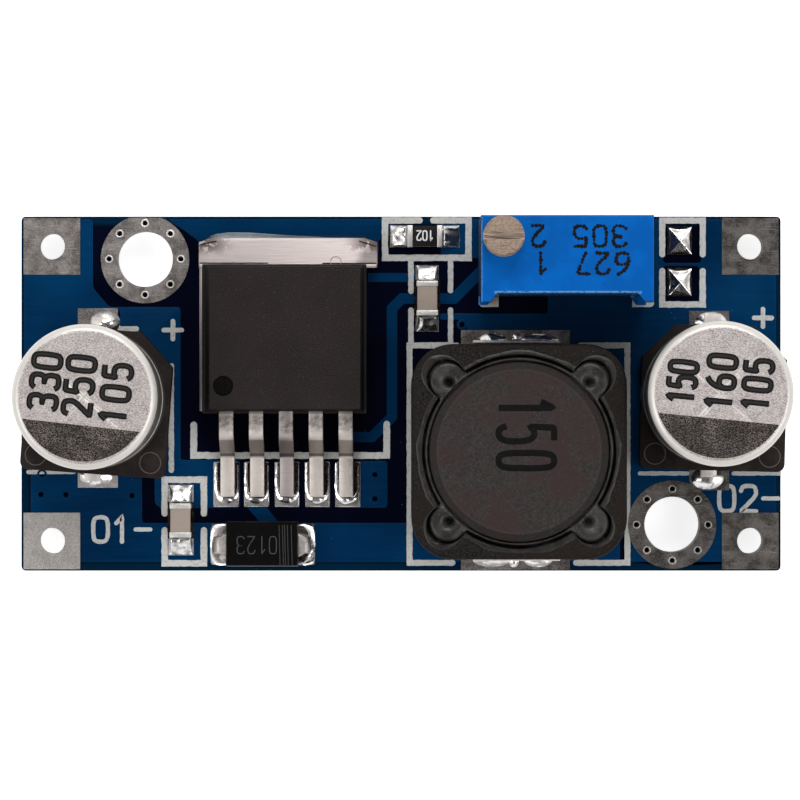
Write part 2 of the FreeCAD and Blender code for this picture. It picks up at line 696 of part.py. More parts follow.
def build_spare_pads():
    """Two pads with no part on them, each under a hipped mound of solder."""
    for side in (-1, 1):
        x, y, angle = SPARE_PLACE
        place = (x, y + side * SPARE_PITCH / 2, angle)
        add("small_part_pads", place, [block((SPARE_PAD[0], SPARE_PAD[1], PAD_THICKNESS))])
        foot = [side_length - 2 * SPARE_SOLDER_EDGE for side_length in SPARE_PAD]
        mound = tapered_block(foot, (SPARE_SOLDER_PEAK, SPARE_SOLDER_PEAK), PAD_THICKNESS,
                              PAD_THICKNESS + SPARE_SOLDER_HEIGHT)
        add("small_part_solder", place, [mound])


# Electrolytic capacitors

def can_shape(inset):
    """The can's solid of revolution, drawn in from its outside by inset, with a square top."""
    radius = CAN_D / 2 - inset
    rim = CAN_RIM_RADIUS - inset
    low = BASE_UNDERSIDE + BASE_PLATE + inset
    high = CAN_TOP - inset
    waist = radius - CAN_GROOVE_DEPTH
    slope = CAN_GROOVE_HALF
    return turned([(0, low), (radius - rim, low), (radius, low + rim),
                   (radius, CAN_GROOVE_LEVEL - slope), (waist, CAN_GROOVE_LEVEL - slope / 3),
                   (waist, CAN_GROOVE_LEVEL + slope / 3), (radius, CAN_GROOVE_LEVEL + slope),
                   (radius, high), (0, high)])


def capacitor_lead():
    """The lead at +Y: a wire down through the bung, flattened and bent outwards."""
    y = CAPACITOR_LEAD_PITCH / 2
    reach = BASE_SIDE / 2 + CAPACITOR_LEAD_REACH - y
    wire = disc(CAPACITOR_LEAD_WIRE_D, BUNG_TOP - PAD_THICKNESS, 0, y, PAD_THICKNESS)
    foot = block((CAPACITOR_LEAD_WIDTH, reach + CAPACITOR_LEAD_WIDTH / 2,
                  CAPACITOR_LEAD_THICKNESS),
                 y=y + reach / 2 - CAPACITOR_LEAD_WIDTH / 4, z=PAD_THICKNESS)
    return fuse_all([wire, foot])


def lead_way():
    """The room in the base for the lead at +Y: a hole, and a groove in the underside."""
    y = CAPACITOR_LEAD_PITCH / 2
    hole = disc(CAPACITOR_LEAD_WIRE_D + 2 * LEAD_CLEARANCE, BUNG_TOP, 0, y)
    inner = y - CAPACITOR_LEAD_WIDTH / 2 - LEAD_CLEARANCE
    length = BASE_SIDE - inner
    groove = block((CAPACITOR_LEAD_WIDTH + 2 * LEAD_CLEARANCE, length,
                    PAD_THICKNESS + CAPACITOR_LEAD_THICKNESS + LEAD_CLEARANCE),
                   y=inner + length / 2)
    return [hole, groove]


def capacitor_base():
    """A square plate with corner posts round the can, chamfered on the positive side."""
    half = BASE_SIDE / 2
    inner = half - BASE_CHAMFER
    outline = [vec(-half, -half, 0), vec(half, -half, 0), vec(half, inner, 0),
               vec(inner, half, 0), vec(-inner, half, 0), vec(-half, inner, 0)]
    base = prism(outline, Z_AXIS * BASE_CORNER_HEIGHT)
    base.translate(vec(0, 0, BASE_UNDERSIDE))
    pocket = disc(CAN_D + 2 * CAN_CLEARANCE, BASE_CORNER_HEIGHT, z=BASE_UNDERSIDE + BASE_PLATE)
    top = BASE_UNDERSIDE + BASE_CORNER_HEIGHT
    place = half - BASE_MARK_INSET
    marks = [disc(BASE_MARK_D, BASE_MARK_DEPTH, side * place, -place, top - BASE_MARK_DEPTH)
             for side in (-1, 1)]
    ways = lead_way()
    ways += [turn(way, 180) for way in ways]
    return cut_all(base, [pocket] + marks + ways)


def capacitor_solder():
    """The mound round the end of the lead at +Y, before the lead is cut out of it."""
    side, ahead = CAPACITOR_SOLDER_FOOT
    top_side, behind = CAPACITOR_SOLDER_CREST
    foot = (CAPACITOR_LEAD_WIDTH + 2 * side, CAPACITOR_LEAD_REACH + ahead)
    crest = (CAPACITOR_LEAD_WIDTH + 2 * top_side, CAPACITOR_LEAD_REACH - 2 * behind)
    mound = tapered_block(foot, crest, PAD_THICKNESS,
                          PAD_THICKNESS + CAPACITOR_LEAD_THICKNESS + CAPACITOR_SOLDER_OVER)
    mound.translate(vec(0, (BASE_SIDE + CAPACITOR_LEAD_REACH + ahead) / 2, 0))
    return mound


def build_capacitor(name, place, pad_place):
    leads = both_ends(capacitor_lead())
    lip = disc(CAN_D - 2 * CAN_LIP_WIDTH, CAN_WALL, z=BASE_UNDERSIDE + BASE_PLATE)
    inside = can_shape(CAN_WALL)
    can = cut_all(round_top_edges(can_shape(0), CAN_RIM_RADIUS), [inside, lip])
    bung_low = BASE_UNDERSIDE + BASE_PLATE + CAN_WALL
    bung_room = disc(CAN_D, BUNG_TOP - bung_low, z=bung_low)
    bung = cut_all(inside.common(bung_room), leads)
    roll = disc(CAN_D - 2 * CAN_WALL - 2 * ROLL_CLEARANCE,
                CAN_TOP - CAN_WALL - ROLL_TOP_GAP - BUNG_TOP, z=BUNG_TOP)
    add(name + "_can", place, [can])
    add(name + "_base", place, [capacitor_base()])
    add(name + "_bung", place, [bung])
    add(name + "_roll", place, [roll])
    add(name + "_positive_lead", place, [leads[0]])
    add(name + "_negative_lead", place, [leads[1]])
    pad_pair("power_part_pads", pad_place, CAPACITOR_PAD, CAPACITOR_PAD_OUTSIDE)
    add("power_part_solder", place, both_ends(capacitor_solder().cut(leads[0])))


# Inductor

def ear_centres():
    """The middles of the four glue pockets at the corners of the shield's bore."""
    for index in range(EAR_COUNT):
        angle = 2 * math.pi * (index + 0.5) / EAR_COUNT
        radius = DRUM_FLANGE_D / 2 + SHIELD_BORE_GAP + EAR_OFFSET
        yield (radius * math.cos(angle), radius * math.sin(angle))


def shield_bore(height, z):
    """The round bore with its four ears."""
    parts = [disc(DRUM_FLANGE_D + 2 * SHIELD_BORE_GAP, height, z=z)]
    parts += [disc(EAR_D, height, x, y, z) for x, y in ear_centres()]
    return fuse_all(parts)


def terminal():
    """The tinned strip at +Y: it lies on its pad and turns up the side of the shield."""
    level = PAD_THICKNESS + TERMINAL_THICKNESS / 2
    outside = SHIELD_SIDE / 2 + TERMINAL_GAP + TERMINAL_THICKNESS / 2
    path = [(TERMINAL_INSIDE, level), (outside, level), (outside, TERMINAL_LUG)]
    return bent_strip(path, TERMINAL_THICKNESS, TERMINAL_WIDTH, TERMINAL_BEND_RADIUS)


def under_bend(bend, face):
    """What lies inside the outer curve of a terminal's bend, and so isn't solder."""
    middle = vec(-TERMINAL_WIDTH, face - bend, PAD_THICKNESS + bend)
    return Part.makeCylinder(bend, 2 * TERMINAL_WIDTH, middle, X_AXIS)


def build_inductor():
    seat_level = PAD_THICKNESS + TERMINAL_THICKNESS
    shield_low = seat_level + SHIELD_TERMINAL_GAP
    shield_top = shield_low + SHIELD_HEIGHT
    shield = block((SHIELD_SIDE, SHIELD_SIDE, SHIELD_HEIGHT), z=shield_low)
    shield = round_upright_edges(shield, SHIELD_CORNER_RADIUS)
    shield = round_top_edges(shield, SHIELD_EDGE_RADIUS)
    shield = shield.cut(shield_bore(SHIELD_HEIGHT, shield_low))
    add("inductor_shield_ring", INDUCTOR_PLACE, [shield])

    flange = DRUM_FLANGE_D / 2
    post = DRUM_POST_D / 2
    low = seat_level
    top = seat_level + DRUM_HEIGHT
    lower_face = low + DRUM_FLANGE_THICKNESS
    upper_face = top - DRUM_FLANGE_THICKNESS
    drum = turned([(0, low), (flange, low), (flange, lower_face), (post, lower_face),
                   (post, upper_face), (flange, upper_face), (flange, top - DRUM_RIM[1]),
                   (flange - DRUM_RIM[0], top), (0, top)])
    add("inductor_drum_core", INDUCTOR_PLACE, [drum])

    outer = flange - WINDING_BELOW_FLANGE
    winding = turned([(post, lower_face), (outer, lower_face), (outer, upper_face),
                      (post, upper_face)])
    add("inductor_winding", INDUCTOR_PLACE, [winding])

    glue_z = shield_top - GLUE_BELOW_TOP - GLUE_DEPTH
    glue = shield_bore(GLUE_DEPTH, glue_z).cut(disc(DRUM_FLANGE_D, 2 * GLUE_DEPTH, z=glue_z))
    add("inductor_glue", INDUCTOR_PLACE, [glue])

    strips = both_ends(terminal())
    add("inductor_output_terminal", INDUCTOR_PLACE, [strips[0]])
    add("inductor_switch_terminal", INDUCTOR_PLACE, [strips[1]])
    pad_pair("power_part_pads", INDUCTOR_PADS, INDUCTOR_PAD, INDUCTOR_PAD_OUTSIDE)
    lug_face = SHIELD_SIDE / 2 + TERMINAL_GAP + TERMINAL_THICKNESS
    fillet = solder_fillet(TERMINAL_WIDTH, INDUCTOR_PAD_OUTSIDE - SOLDER_TO_PAD_END, lug_face,
                           TERMINAL_SOLDER_TOP)
    bend = TERMINAL_BEND_RADIUS + TERMINAL_THICKNESS / 2
    filler = block((TERMINAL_WIDTH, bend, bend), y=lug_face - bend / 2, z=PAD_THICKNESS)
    fillet = fuse_all([fillet, filler.cut(under_bend(bend, lug_face))])
    add("power_part_solder", INDUCTOR_PLACE, both_ends(fillet))


# Trimmer

def screw_place():
    """The screw's axis, in from the housing's left end and its rear."""
    return (SCREW_INSET[0] - TRIMMER_LENGTH / 2, TRIMMER_WIDTH / 2 - SCREW_INSET[1])


def trimmer_levels():
    """The floor and the ceiling of the room inside the housing."""
    return (TRIMMER_STANDOFF + TRIMMER_BOTTOM_WALL, TRIMMER_HEIGHT - TRIMMER_TOP_WALL)


def wheel_centre():
    """The wheel's axis, as x and z, where its teeth meet the screw."""
    return (screw_place()[0] + (WHEEL_PITCH_D + SCREW_PITCH_D) / 2,
            trimmer_levels()[0] + WHEEL_ABOVE_FLOOR)


def wheel_face():
    """The side of the wheel that looks at the resistor plate."""
    return screw_place()[1] - WHEEL_THICKNESS / 2


def trimmer_cavity():
    """The room inside the housing, open at -Y, with a round channel for the screw."""
    length = TRIMMER_LENGTH - 2 * TRIMMER_SIDE_WALL
    rear = TRIMMER_WIDTH / 2 - TRIMMER_REAR_WALL
    depth = TRIMMER_WIDTH
    low, high = trimmer_levels()
    room = block((length, depth, high - low), y=rear - depth / 2, z=low)
    return fuse_all([room, disc(SCREW_CHANNEL_D, high - low, *screw_place(), low)])


def trimmer_feet():
    """The corner stubs that stand out past the sealed side, two high up and two low down."""
    half = TRIMMER_LENGTH / 2
    front = -TRIMMER_WIDTH / 2
    back = front + TRIMMER_FOOT_REACH
    feet = []
    for side in (-1, 1):
        outline = [vec(side * half, back, 0), vec(side * half, front, 0),
                   vec(side * (half - TRIMMER_FOOT_TIP), front, 0),
                   vec(side * (half - TRIMMER_FOOT_ROOT), back, 0)]
        for z in (TRIMMER_STANDOFF, TRIMMER_HEIGHT - TRIMMER_FOOT_HEIGHT):
            foot = prism(outline, Z_AXIS * TRIMMER_FOOT_HEIGHT)
            foot.translate(vec(0, 0, z))
            feet.append(foot)
    return feet


def trimmer_standoffs():
    """Four small pads that hold the housing off the board."""
    length, width = STANDOFF_SIZE
    x = (TRIMMER_LENGTH - length) / 2
    y_low = (width - TRIMMER_WIDTH) / 2 + TRIMMER_FOOT_REACH
    y_high = (TRIMMER_WIDTH - width) / 2
    for side in (-1, 1):
        for y in (y_low, y_high):
            yield block((length, width, TRIMMER_STANDOFF), side * x, y)


def screw_bores():
    """The holes that guide the screw: neck and seal in the top wall, journal in the bottom."""
    x, y = screw_place()
    floor, ceiling = trimmer_levels()
    neck_d = SCREW_NECK_D + 2 * RUNNING_CLEARANCE
    neck = disc(neck_d, 2 * TRIMMER_TOP_WALL, x, y, ceiling)
    seal = disc(neck_d + 2 * SEAL_RING_SECTION, SEAL_RING_POCKET, x, y, ceiling)
    journal_depth = SCREW_JOURNAL_DEPTH + RUNNING_CLEARANCE
    journal = disc(SCREW_JOURNAL_D + 2 * RUNNING_CLEARANCE, journal_depth, x, y,
                   floor - journal_depth)
    return [neck, seal, journal]


def spigot():
    """The round boss on the rear wall that the wheel turns on."""
    rear = TRIMMER_WIDTH / 2 - TRIMMER_REAR_WALL
    x, z = wheel_centre()
    return Part.makeCylinder(SPIGOT_D / 2, rear - SPIGOT_END, vec(x, rear, z), Y_AXIS * -1)


def trimmer_pin(x, y):
    """One pin, from below the board up to the resistor plate."""
    return disc(PIN_D, PIN_TOP + BOARD_TOP, x, y, -BOARD_TOP)


def trimmer_housing(pins):
    depth = TRIMMER_WIDTH - TRIMMER_FOOT_REACH
    shell = block((TRIMMER_LENGTH, depth, TRIMMER_HEIGHT - TRIMMER_STANDOFF),
                  y=TRIMMER_WIDTH / 2 - depth / 2, z=TRIMMER_STANDOFF)
    shell = fuse_all([shell] + trimmer_feet())
    shell = round_top_edges(shell, TRIMMER_EDGE_RADIUS)
    shell = cut_all(shell, [trimmer_cavity()] + screw_bores() + pins)
    return fuse_all([shell, spigot()] + list(trimmer_standoffs()))


def trimmer_screw():
    """Slotted head, neck, collar under the top wall, shank and journal, turned in one piece."""
    floor, ceiling = trimmer_levels()
    head_low = TRIMMER_HEIGHT + SCREW_HEAD_GAP
    head_top = head_low + SCREW_HEAD_HEIGHT
    collar_top = ceiling - RUNNING_CLEARANCE
    collar_low = collar_top - SCREW_COLLAR_HEIGHT
    foot = floor - SCREW_JOURNAL_DEPTH
    shoulder = floor + RUNNING_CLEARANCE
    screw = turned([(0, foot), (SCREW_JOURNAL_D / 2, foot), (SCREW_JOURNAL_D / 2, shoulder),
                    (SCREW_SHANK_D / 2, shoulder), (SCREW_SHANK_D / 2, collar_low),
                    (SCREW_COLLAR_D / 2, collar_low), (SCREW_COLLAR_D / 2, collar_top),
                    (SCREW_NECK_D / 2, collar_top), (SCREW_NECK_D / 2, head_low),
                    (SCREW_HEAD_D / 2, head_low),
                    (SCREW_HEAD_D / 2, head_top - SCREW_HEAD_CHAMFER),
                    (SCREW_HEAD_D / 2 - SCREW_HEAD_CHAMFER, head_top), (0, head_top)])
    width, depth = SCREW_SLOT
    slot = block((2 * SCREW_HEAD_D, width, 2 * depth), z=head_top - depth)
    screw = screw.cut(slot)
    screw.translate(vec(*screw_place(), 0))
    return screw


def seal_ring():
    """The square-cut rubber ring round the screw's neck, in a pocket in the top wall."""
    inner = SCREW_NECK_D / 2 + RUNNING_CLEARANCE
    outer = inner + SEAL_RING_SECTION
    low = trimmer_levels()[1] + SEAL_RING_POCKET - SEAL_RING_SECTION
    high = low + SEAL_RING_SECTION
    ring = turned([(inner, low), (outer, low), (outer, high), (inner, high)])
    ring.translate(vec(*screw_place(), 0))
    return ring


def worm_wheel():
    """The wheel that the screw drives: trapezoid teeth round a disc, bored for the spigot."""
    crest = WHEEL_PITCH_D / 2 + WHEEL_TOOTH_DEPTH * WHEEL_ADDENDUM_SHARE
    root = crest - WHEEL_TOOTH_DEPTH
    step = 2 * math.pi / WHEEL_TEETH
    outline = []
    for tooth in range(WHEEL_TEETH):
        for radius, share in ((root, -WHEEL_ROOT_SHARE), (crest, -WHEEL_CREST_SHARE),
                              (crest, WHEEL_CREST_SHARE), (root, WHEEL_ROOT_SHARE)):
            angle = (tooth + share) * step
            outline.append(vec(radius * math.cos(angle), 0, radius * math.sin(angle)))
    wheel = prism(outline, Y_AXIS * WHEEL_THICKNESS)
    bore = Part.makeCylinder(SPIGOT_D / 2 + RUNNING_CLEARANCE, WHEEL_THICKNESS, MIDDLE, Y_AXIS)
    wheel = wheel.cut(bore)
    x, z = wheel_centre()
    wheel.translate(vec(x, wheel_face(), z))
    return wheel


def wiper():
    """A spring leaf on the wheel's face: a ring, and an arm bent forward to the resistor."""
    ring = Part.makeCylinder(WIPER_RING_D / 2, WIPER_THICKNESS, MIDDLE, Y_AXIS * -1)
    hole = Part.makeCylinder(SPIGOT_D / 2 + 2 * RUNNING_CLEARANCE, WIPER_THICKNESS, MIDDLE,
                             Y_AXIS * -1)
    reach = wheel_face() - ELEMENT_FACE - RUNNING_CLEARANCE - WIPER_THICKNESS
    bend = WIPER_RING_D / 2 - WIPER_ARM_INSET
    path = [(-WIPER_THICKNESS / 2, bend - WIPER_ARM_ROOT), (-WIPER_THICKNESS / 2, bend),
            (-reach, bend + WIPER_ARM_RISE),
            (-reach - WIPER_THICKNESS / 2, bend - WIPER_TIP_LENGTH)]
    arm = bent_strip(path, WIPER_THICKNESS, WIPER_ARM_WIDTH, WIPER_BEND_RADIUS)
    leaf = fuse_all([ring.cut(hole), arm.cut(hole)])
    x, z = wheel_centre()
    leaf.translate(vec(x, wheel_face(), z))
    return leaf


def build_trimmer():
    pins = [trimmer_pin(x, y) for x, y in pin_centres()]
    for index, pin in enumerate(pins):
        add("trimmer_pin_" + str(index + 1), TRIMMER_PLACE, [pin])
    add("trimmer_housing", TRIMMER_PLACE, [trimmer_housing(pins)])
    add("trimmer_screw", TRIMMER_PLACE, [trimmer_screw()])
    add("trimmer_seal_ring", TRIMMER_PLACE, [seal_ring()])
    add("trimmer_worm_wheel", TRIMMER_PLACE, [worm_wheel()])
    add("trimmer_wiper", TRIMMER_PLACE, [wiper()])

    floor, ceiling = trimmer_levels()
    room = TRIMMER_LENGTH - 2 * TRIMMER_SIDE_WALL
    plate_back = ELEMENT_FACE - ELEMENT_THICKNESS
    plate = block((room - 2 * ELEMENT_SIDE_GAP, ELEMENT_THICKNESS,
                   ceiling - floor - ELEMENT_TOP_GAP), y=plate_back + ELEMENT_THICKNESS / 2, z=floor)
    add("trimmer_resistor_plate", TRIMMER_PLACE, [plate])
    front = -TRIMMER_WIDTH / 2 + TRIMMER_FOOT_REACH
    cover = block((room, plate_back - front, ceiling - floor), y=(plate_back + front) / 2, z=floor)
    add("trimmer_sealing_cover", TRIMMER_PLACE, [cover])

    under = -BOARD_THICKNESS - PAD_THICKNESS
    for (x, y), pin in zip(pin_centres(), pins):
        cone = Part.makeCone(PIN_PAD_D / 2 - PIN_SOLDER_EDGE, PIN_D / 2 + PIN_SOLDER_EDGE,
                             PIN_SOLDER_HEIGHT, vec(x, y, under), Z_AXIS * -1)
        plug = disc(PIN_HOLE_D, BOARD_THICKNESS + 2 * PAD_THICKNESS, x, y, under)
        add("trimmer_solder", TRIMMER_PLACE, [fuse_all([cone, plug]).cut(pin)])


build_board()
build_regulator()
build_diode()
build_chip("resistor", RESISTOR_PLACE, RESISTOR_SIZE, RESISTOR_PAD, RESISTOR_PAD_OUTSIDE,
           "_ceramic")
build_resistor_film()
build_chip("upper_chip_capacitor", UPPER_CHIP_PLACE, UPPER_CHIP_SIZE, UPPER_CHIP_PAD,
           UPPER_CHIP_PAD_OUTSIDE, "_body")
build_chip("lower_chip_capacitor", LOWER_CHIP_PLACE, LOWER_CHIP_SIZE, LOWER_CHIP_PAD,
           LOWER_CHIP_PAD_OUTSIDE, "_body")
build_spare_pads()
build_capacitor("input_capacitor", INPUT_CAPACITOR_PLACE, INPUT_CAPACITOR_PADS)
build_capacitor("output_capacitor", OUTPUT_CAPACITOR_PLACE, OUTPUT_CAPACITOR_PADS)
build_inductor()
keep_off_rings("power_part_pads")
build_trimmer()

for node, solids in nodes.items():
    shape = solids[0] if len(solids) == 1 else Part.makeCompound(solids)
    shape.exportStep("parts/" + node + ".step")
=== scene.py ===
"""Looks of a step-down voltage module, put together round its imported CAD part.

Lengths are in millimetres above the module's row frame, and become metres when a piece is kept.
"""

import math

import bmesh
import bpy
from mathutils import Matrix, Vector, noise


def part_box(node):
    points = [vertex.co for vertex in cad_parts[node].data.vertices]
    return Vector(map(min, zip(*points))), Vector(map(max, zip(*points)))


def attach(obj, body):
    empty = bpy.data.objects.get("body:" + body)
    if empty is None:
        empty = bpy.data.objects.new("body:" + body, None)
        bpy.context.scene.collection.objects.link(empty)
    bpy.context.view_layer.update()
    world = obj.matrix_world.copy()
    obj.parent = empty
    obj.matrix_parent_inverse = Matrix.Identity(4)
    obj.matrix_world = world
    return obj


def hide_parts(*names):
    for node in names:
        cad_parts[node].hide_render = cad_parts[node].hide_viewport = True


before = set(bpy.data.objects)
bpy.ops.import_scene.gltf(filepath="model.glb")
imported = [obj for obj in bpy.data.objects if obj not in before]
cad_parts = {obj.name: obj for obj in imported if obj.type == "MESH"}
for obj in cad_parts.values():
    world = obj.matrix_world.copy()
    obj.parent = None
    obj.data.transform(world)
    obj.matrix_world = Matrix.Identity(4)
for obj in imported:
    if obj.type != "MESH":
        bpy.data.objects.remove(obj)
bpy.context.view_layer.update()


# Bench and camera
# The module stands on its three pin ends on a plain pale bench top, and the camera looks straight
# down on it from 280 mm above the board, slightly off its middle. Pale walls all round light it,
# with three soft lamps, and the ceiling over the camera is dark, so flat tin shows grey.

MM = 0.001
BOARD_TOP = 2.5
CAMERA_HEIGHT = BOARD_TOP + 280
CAMERA_PLACE = (-0.06, -0.02)
CAMERA_LENS = 219.4
CAMERA_RISE = -0.0075
SENSOR_WIDTH = 36
LAMP_DISTANCE = 0.4
BENCH_RADIUS = 2000
BENCH_DROP = 0.02
BENCH_GLOW, BENCH_IN_METAL = 0.78, 0.4
WALL_FOOT, WALL, CEILING = (0.32, 0.32, 0.33, 1), (1.0, 1.0, 1.0, 1), (0.08, 0.08, 0.088, 1)


def paint(red, green, blue):
    """A colour as it looks on screen, 0 to 255, in the linear values that nodes mix."""
    linear = [level / 255 / 12.92 if level < 11 else ((level / 255 + 0.055) / 1.055) ** 2.4
              for level in (red, green, blue)]
    return (*linear, 1.0)


class Signal:
    """The output of a node. Arithmetic on it adds Math nodes to its tree."""

    def __init__(self, nodes, socket):
        self.nodes = nodes
        self.socket = socket

    def maths(self, operation, *values):
        return self.nodes.node("ShaderNodeMath", {"operation": operation}, dict(enumerate(values)))

    def __add__(self, other):
        return self.maths("ADD", self, other)

    def __sub__(self, other):
        return self.maths("SUBTRACT", self, other)

    def __rsub__(self, other):
        return self.maths("SUBTRACT", other, self)

    def __mul__(self, other):
        return self.maths("MULTIPLY", self, other)

    def __truediv__(self, other):
        return self.maths("DIVIDE", self, other)

    def __pow__(self, other):
        return self.maths("POWER", self, other)

    def __gt__(self, other):
        return self.maths("GREATER_THAN", self, other)

    def __abs__(self):
        return self.maths("ABSOLUTE", self)

    __radd__ = __add__
    __rmul__ = __mul__

    def between(self, low, high):
        """0 below low and 1 above high, with a smooth step from one to the other."""
        return self.nodes.node("ShaderNodeMapRange", {"interpolation_type": "SMOOTHSTEP"},
                               {"Value": self, "From Min": low, "From Max": high})


class Nodes:
    """A node tree, and the one way that nodes are added to it."""

    def __init__(self, tree):
        self.tree = tree

    def node(self, kind, settings=(), sockets=(), output=0):
        """Adds a node: its type, its settings, then its sockets' values or links."""
        made = self.tree.nodes.new(kind)
        for name, value in dict(settings).items():
            setattr(made, name, value)
        for name, value in dict(sockets).items():
            self.feed(made.inputs[name], value)
        return Signal(self, made.outputs[output])

    def feed(self, socket, value):
        if isinstance(value, Signal):
            self.tree.links.new(value.socket, socket)
        else:
            socket.default_value = value

    def vector(self, x=0.0, y=0.0, z=0.0):
        return self.node("ShaderNodeCombineXYZ", {}, {"X": x, "Y": y, "Z": z})

    def shape(self, kind, mode=None, output=0, **sockets):
        """Adds a geometry node. An underscore in the name of a socket stands for a space."""
        named = {name.replace("_", " "): value for name, value in sockets.items()}
        return self.node(f"GeometryNode{kind}", {"mode": mode} if mode else {}, named, output)

    def circle(self, sides, radius):
        return self.shape("CurvePrimitiveCircle", "RADIUS", "Curve", Resolution=sides, Radius=radius)

    def join(self, first, second):
        """Two geometries as one."""
        both = self.shape("JoinGeometry", Geometry=first)
        self.tree.links.new(second.socket, both.socket.node.inputs[0])
        return both

    def blend(self, factor, first, second):
        """A colour that goes from first to second with the factor."""
        return self.node("ShaderNodeMix", {"data_type": "RGBA"}, {0: factor, 6: first, 7: second}, 2)


class Finish(Nodes):
    """The material of one of the module's surfaces, with the patterns that several share."""

    def __init__(self, name):
        self.material = bpy.data.materials.new(name)
        self.material.use_nodes = True
        super().__init__(self.material.node_tree)
        self.shader = self.tree.nodes["Principled BSDF"]
        self.place = self.node("ShaderNodeTexCoord", output="Object")

    def set(self, **values):
        """Sets or links sockets of the shader, such as Base_Color."""
        for name, value in values.items():
            self.feed(self.shader.inputs[name.replace("_", " ")], value)
        return self

    def stretch(self, along_x, along_y, along_z, turn=0):
        """The place, with the pattern's grains this long in millimetres along each axis."""
        scale = [1 / (length * MM) for length in (along_x, along_y, along_z)]
        return self.node("ShaderNodeMapping", {}, {"Vector": self.place, "Scale": scale,
                                                   "Rotation": (0, 0, math.radians(turn))})

    def grain(self, size=None, detail=3, where=None, roughness=0.5):
        """Cloudy noise with grains of a size in millimetres, about 0.5 on average."""
        where = where or self.stretch(size, size, size)
        return self.node("ShaderNodeTexNoise", {}, {"Vector": where, "Scale": 1, "Detail": detail,
                                                    "Roughness": roughness})

    def cells(self, size):
        """Distance from the nearest of scattered points, about a size in millimetres apart."""
        return self.node("ShaderNodeTexVoronoi", {},
                         {"Vector": self.stretch(size, size, size), "Scale": 1}, "Distance")

    def axis(self, name):
        """One coordinate of the place, in millimetres."""
        return self.node("ShaderNodeSeparateXYZ", {}, {0: self.place}, name) * (1 / MM)

    def facing_up(self):
        """1 where the surface faces straight up, 0 on walls, -1 below."""
        normal = self.node("ShaderNodeNewGeometry", output="Normal")
        return self.node("ShaderNodeSeparateXYZ", {}, {0: normal}, "Z")

    def relief(self, height, depth):
        """A bump of depth millimetres where height goes from 0 to 1."""
        return self.node("ShaderNodeBump", {}, {"Height": height, "Distance": depth * MM})


def bench_finish():
    """Pale matt board that takes the module's shadow and looks white to the camera and in metal."""
    finish = Finish("bench top")
    cloud = finish.grain(30, 2)
    finish.set(Base_Color=finish.blend(cloud, paint(232, 232, 232), paint(238, 238, 238)), Roughness=0.8)
    seen, mirrored, through = (finish.node("ShaderNodeLightPath", output=f"Is {ray} Ray")
                               for ray in ("Camera", "Glossy", "Transmission"))
    shown = seen.maths("MAXIMUM", seen, mirrored * BENCH_IN_METAL)
    shown = shown.maths("MAXIMUM", shown, through)
    white = {"Color": paint(255, 255, 255), "Strength": shown * BENCH_GLOW}
    glow = finish.node("ShaderNodeEmission", {}, white)
    both = finish.node("ShaderNodeAddShader", {}, {0: Signal(finish, finish.shader.outputs[0]), 1: glow})
    finish.feed(finish.tree.nodes["Material Output"].inputs["Surface"], both)
    return finish


def soft_lamp(name, azimuth, height_angle, side, watts):
    """A square soft lamp that faces the module from a compass angle and a height angle."""
    light = bpy.data.lights.new(name, "AREA")
    light.size, light.energy = side, watts
    lamp = bpy.data.objects.new(name, light)
    bpy.context.scene.collection.objects.link(lamp)
    around, up = math.radians(azimuth), math.radians(height_angle)
    direction = Vector((math.sin(around) * math.cos(up), math.cos(around) * math.cos(up), math.sin(up)))
    lamp.location = direction * LAMP_DISTANCE
    lamp.rotation_euler = direction.to_track_quat("Z", "Y").to_euler()


def light_the_room():
    """Pale walls, a darker ceiling, and three soft lamps."""
    scene = bpy.context.scene
    scene.view_settings.view_transform = "Standard"
    scene.world = bpy.data.worlds.new("room")
    scene.world.use_nodes = True
    room = Nodes(scene.world.node_tree)
    direction = room.node("ShaderNodeTexCoord", output="Generated")
    height = room.node("ShaderNodeSeparateXYZ", {}, {0: direction}, "Z")
    shade = room.blend(height.between(0.1, 0.5), WALL_FOOT, WALL)
    shade = room.blend(height.between(0.62, 0.93), shade, CEILING)
    background = scene.world.node_tree.nodes["Background"]
    room.feed(background.inputs["Color"], shade)
    soft_lamp("lamp over the trimmer side", 4, 52, 0.2, 0.74)
    soft_lamp("lamp to the right", 112, 50, 0.18, 0.4)
    soft_lamp("lamp to the left", 252, 50, 0.18, 0.4)


def set_up_camera():
    camera = bpy.data.objects.new("camera", bpy.data.cameras.new("camera"))
    bpy.context.scene.collection.objects.link(camera)
    camera.location = Vector((*CAMERA_PLACE, CAMERA_HEIGHT)) * MM
    camera.data.lens = CAMERA_LENS
    camera.data.sensor_width = SENSOR_WIDTH
    camera.data.shift_y = CAMERA_RISE
    camera.data.clip_start, camera.data.clip_end = 0.05, 5
    bpy.context.scene.camera = camera


def lay_bench():
    shape = bmesh.new()
    bmesh.ops.create_circle(shape, cap_ends=True, segments=64, radius=BENCH_RADIUS * MM)
    bmesh.ops.translate(shape, verts=shape.verts, vec=(0, 0, -BENCH_DROP * MM))
    mesh = bpy.data.meshes.new("bench")
    shape.to_mesh(mesh)
    mesh.materials.append(bench_finish().material)
    bench = bpy.data.objects.new("bench", mesh)
    bpy.context.scene.collection.objects.link(bench)


light_the_room()
set_up_camera()
lay_bench()


# Laminate board
# Glass-fibre laminate, 1.6 mm thick, with a glossy deep blue mask over both faces. Its sawn edges
# and drilled walls show the bare yellowish glass cloth. The copper under the mask makes it stand
# up a little and look a lighter blue than the gaps between.

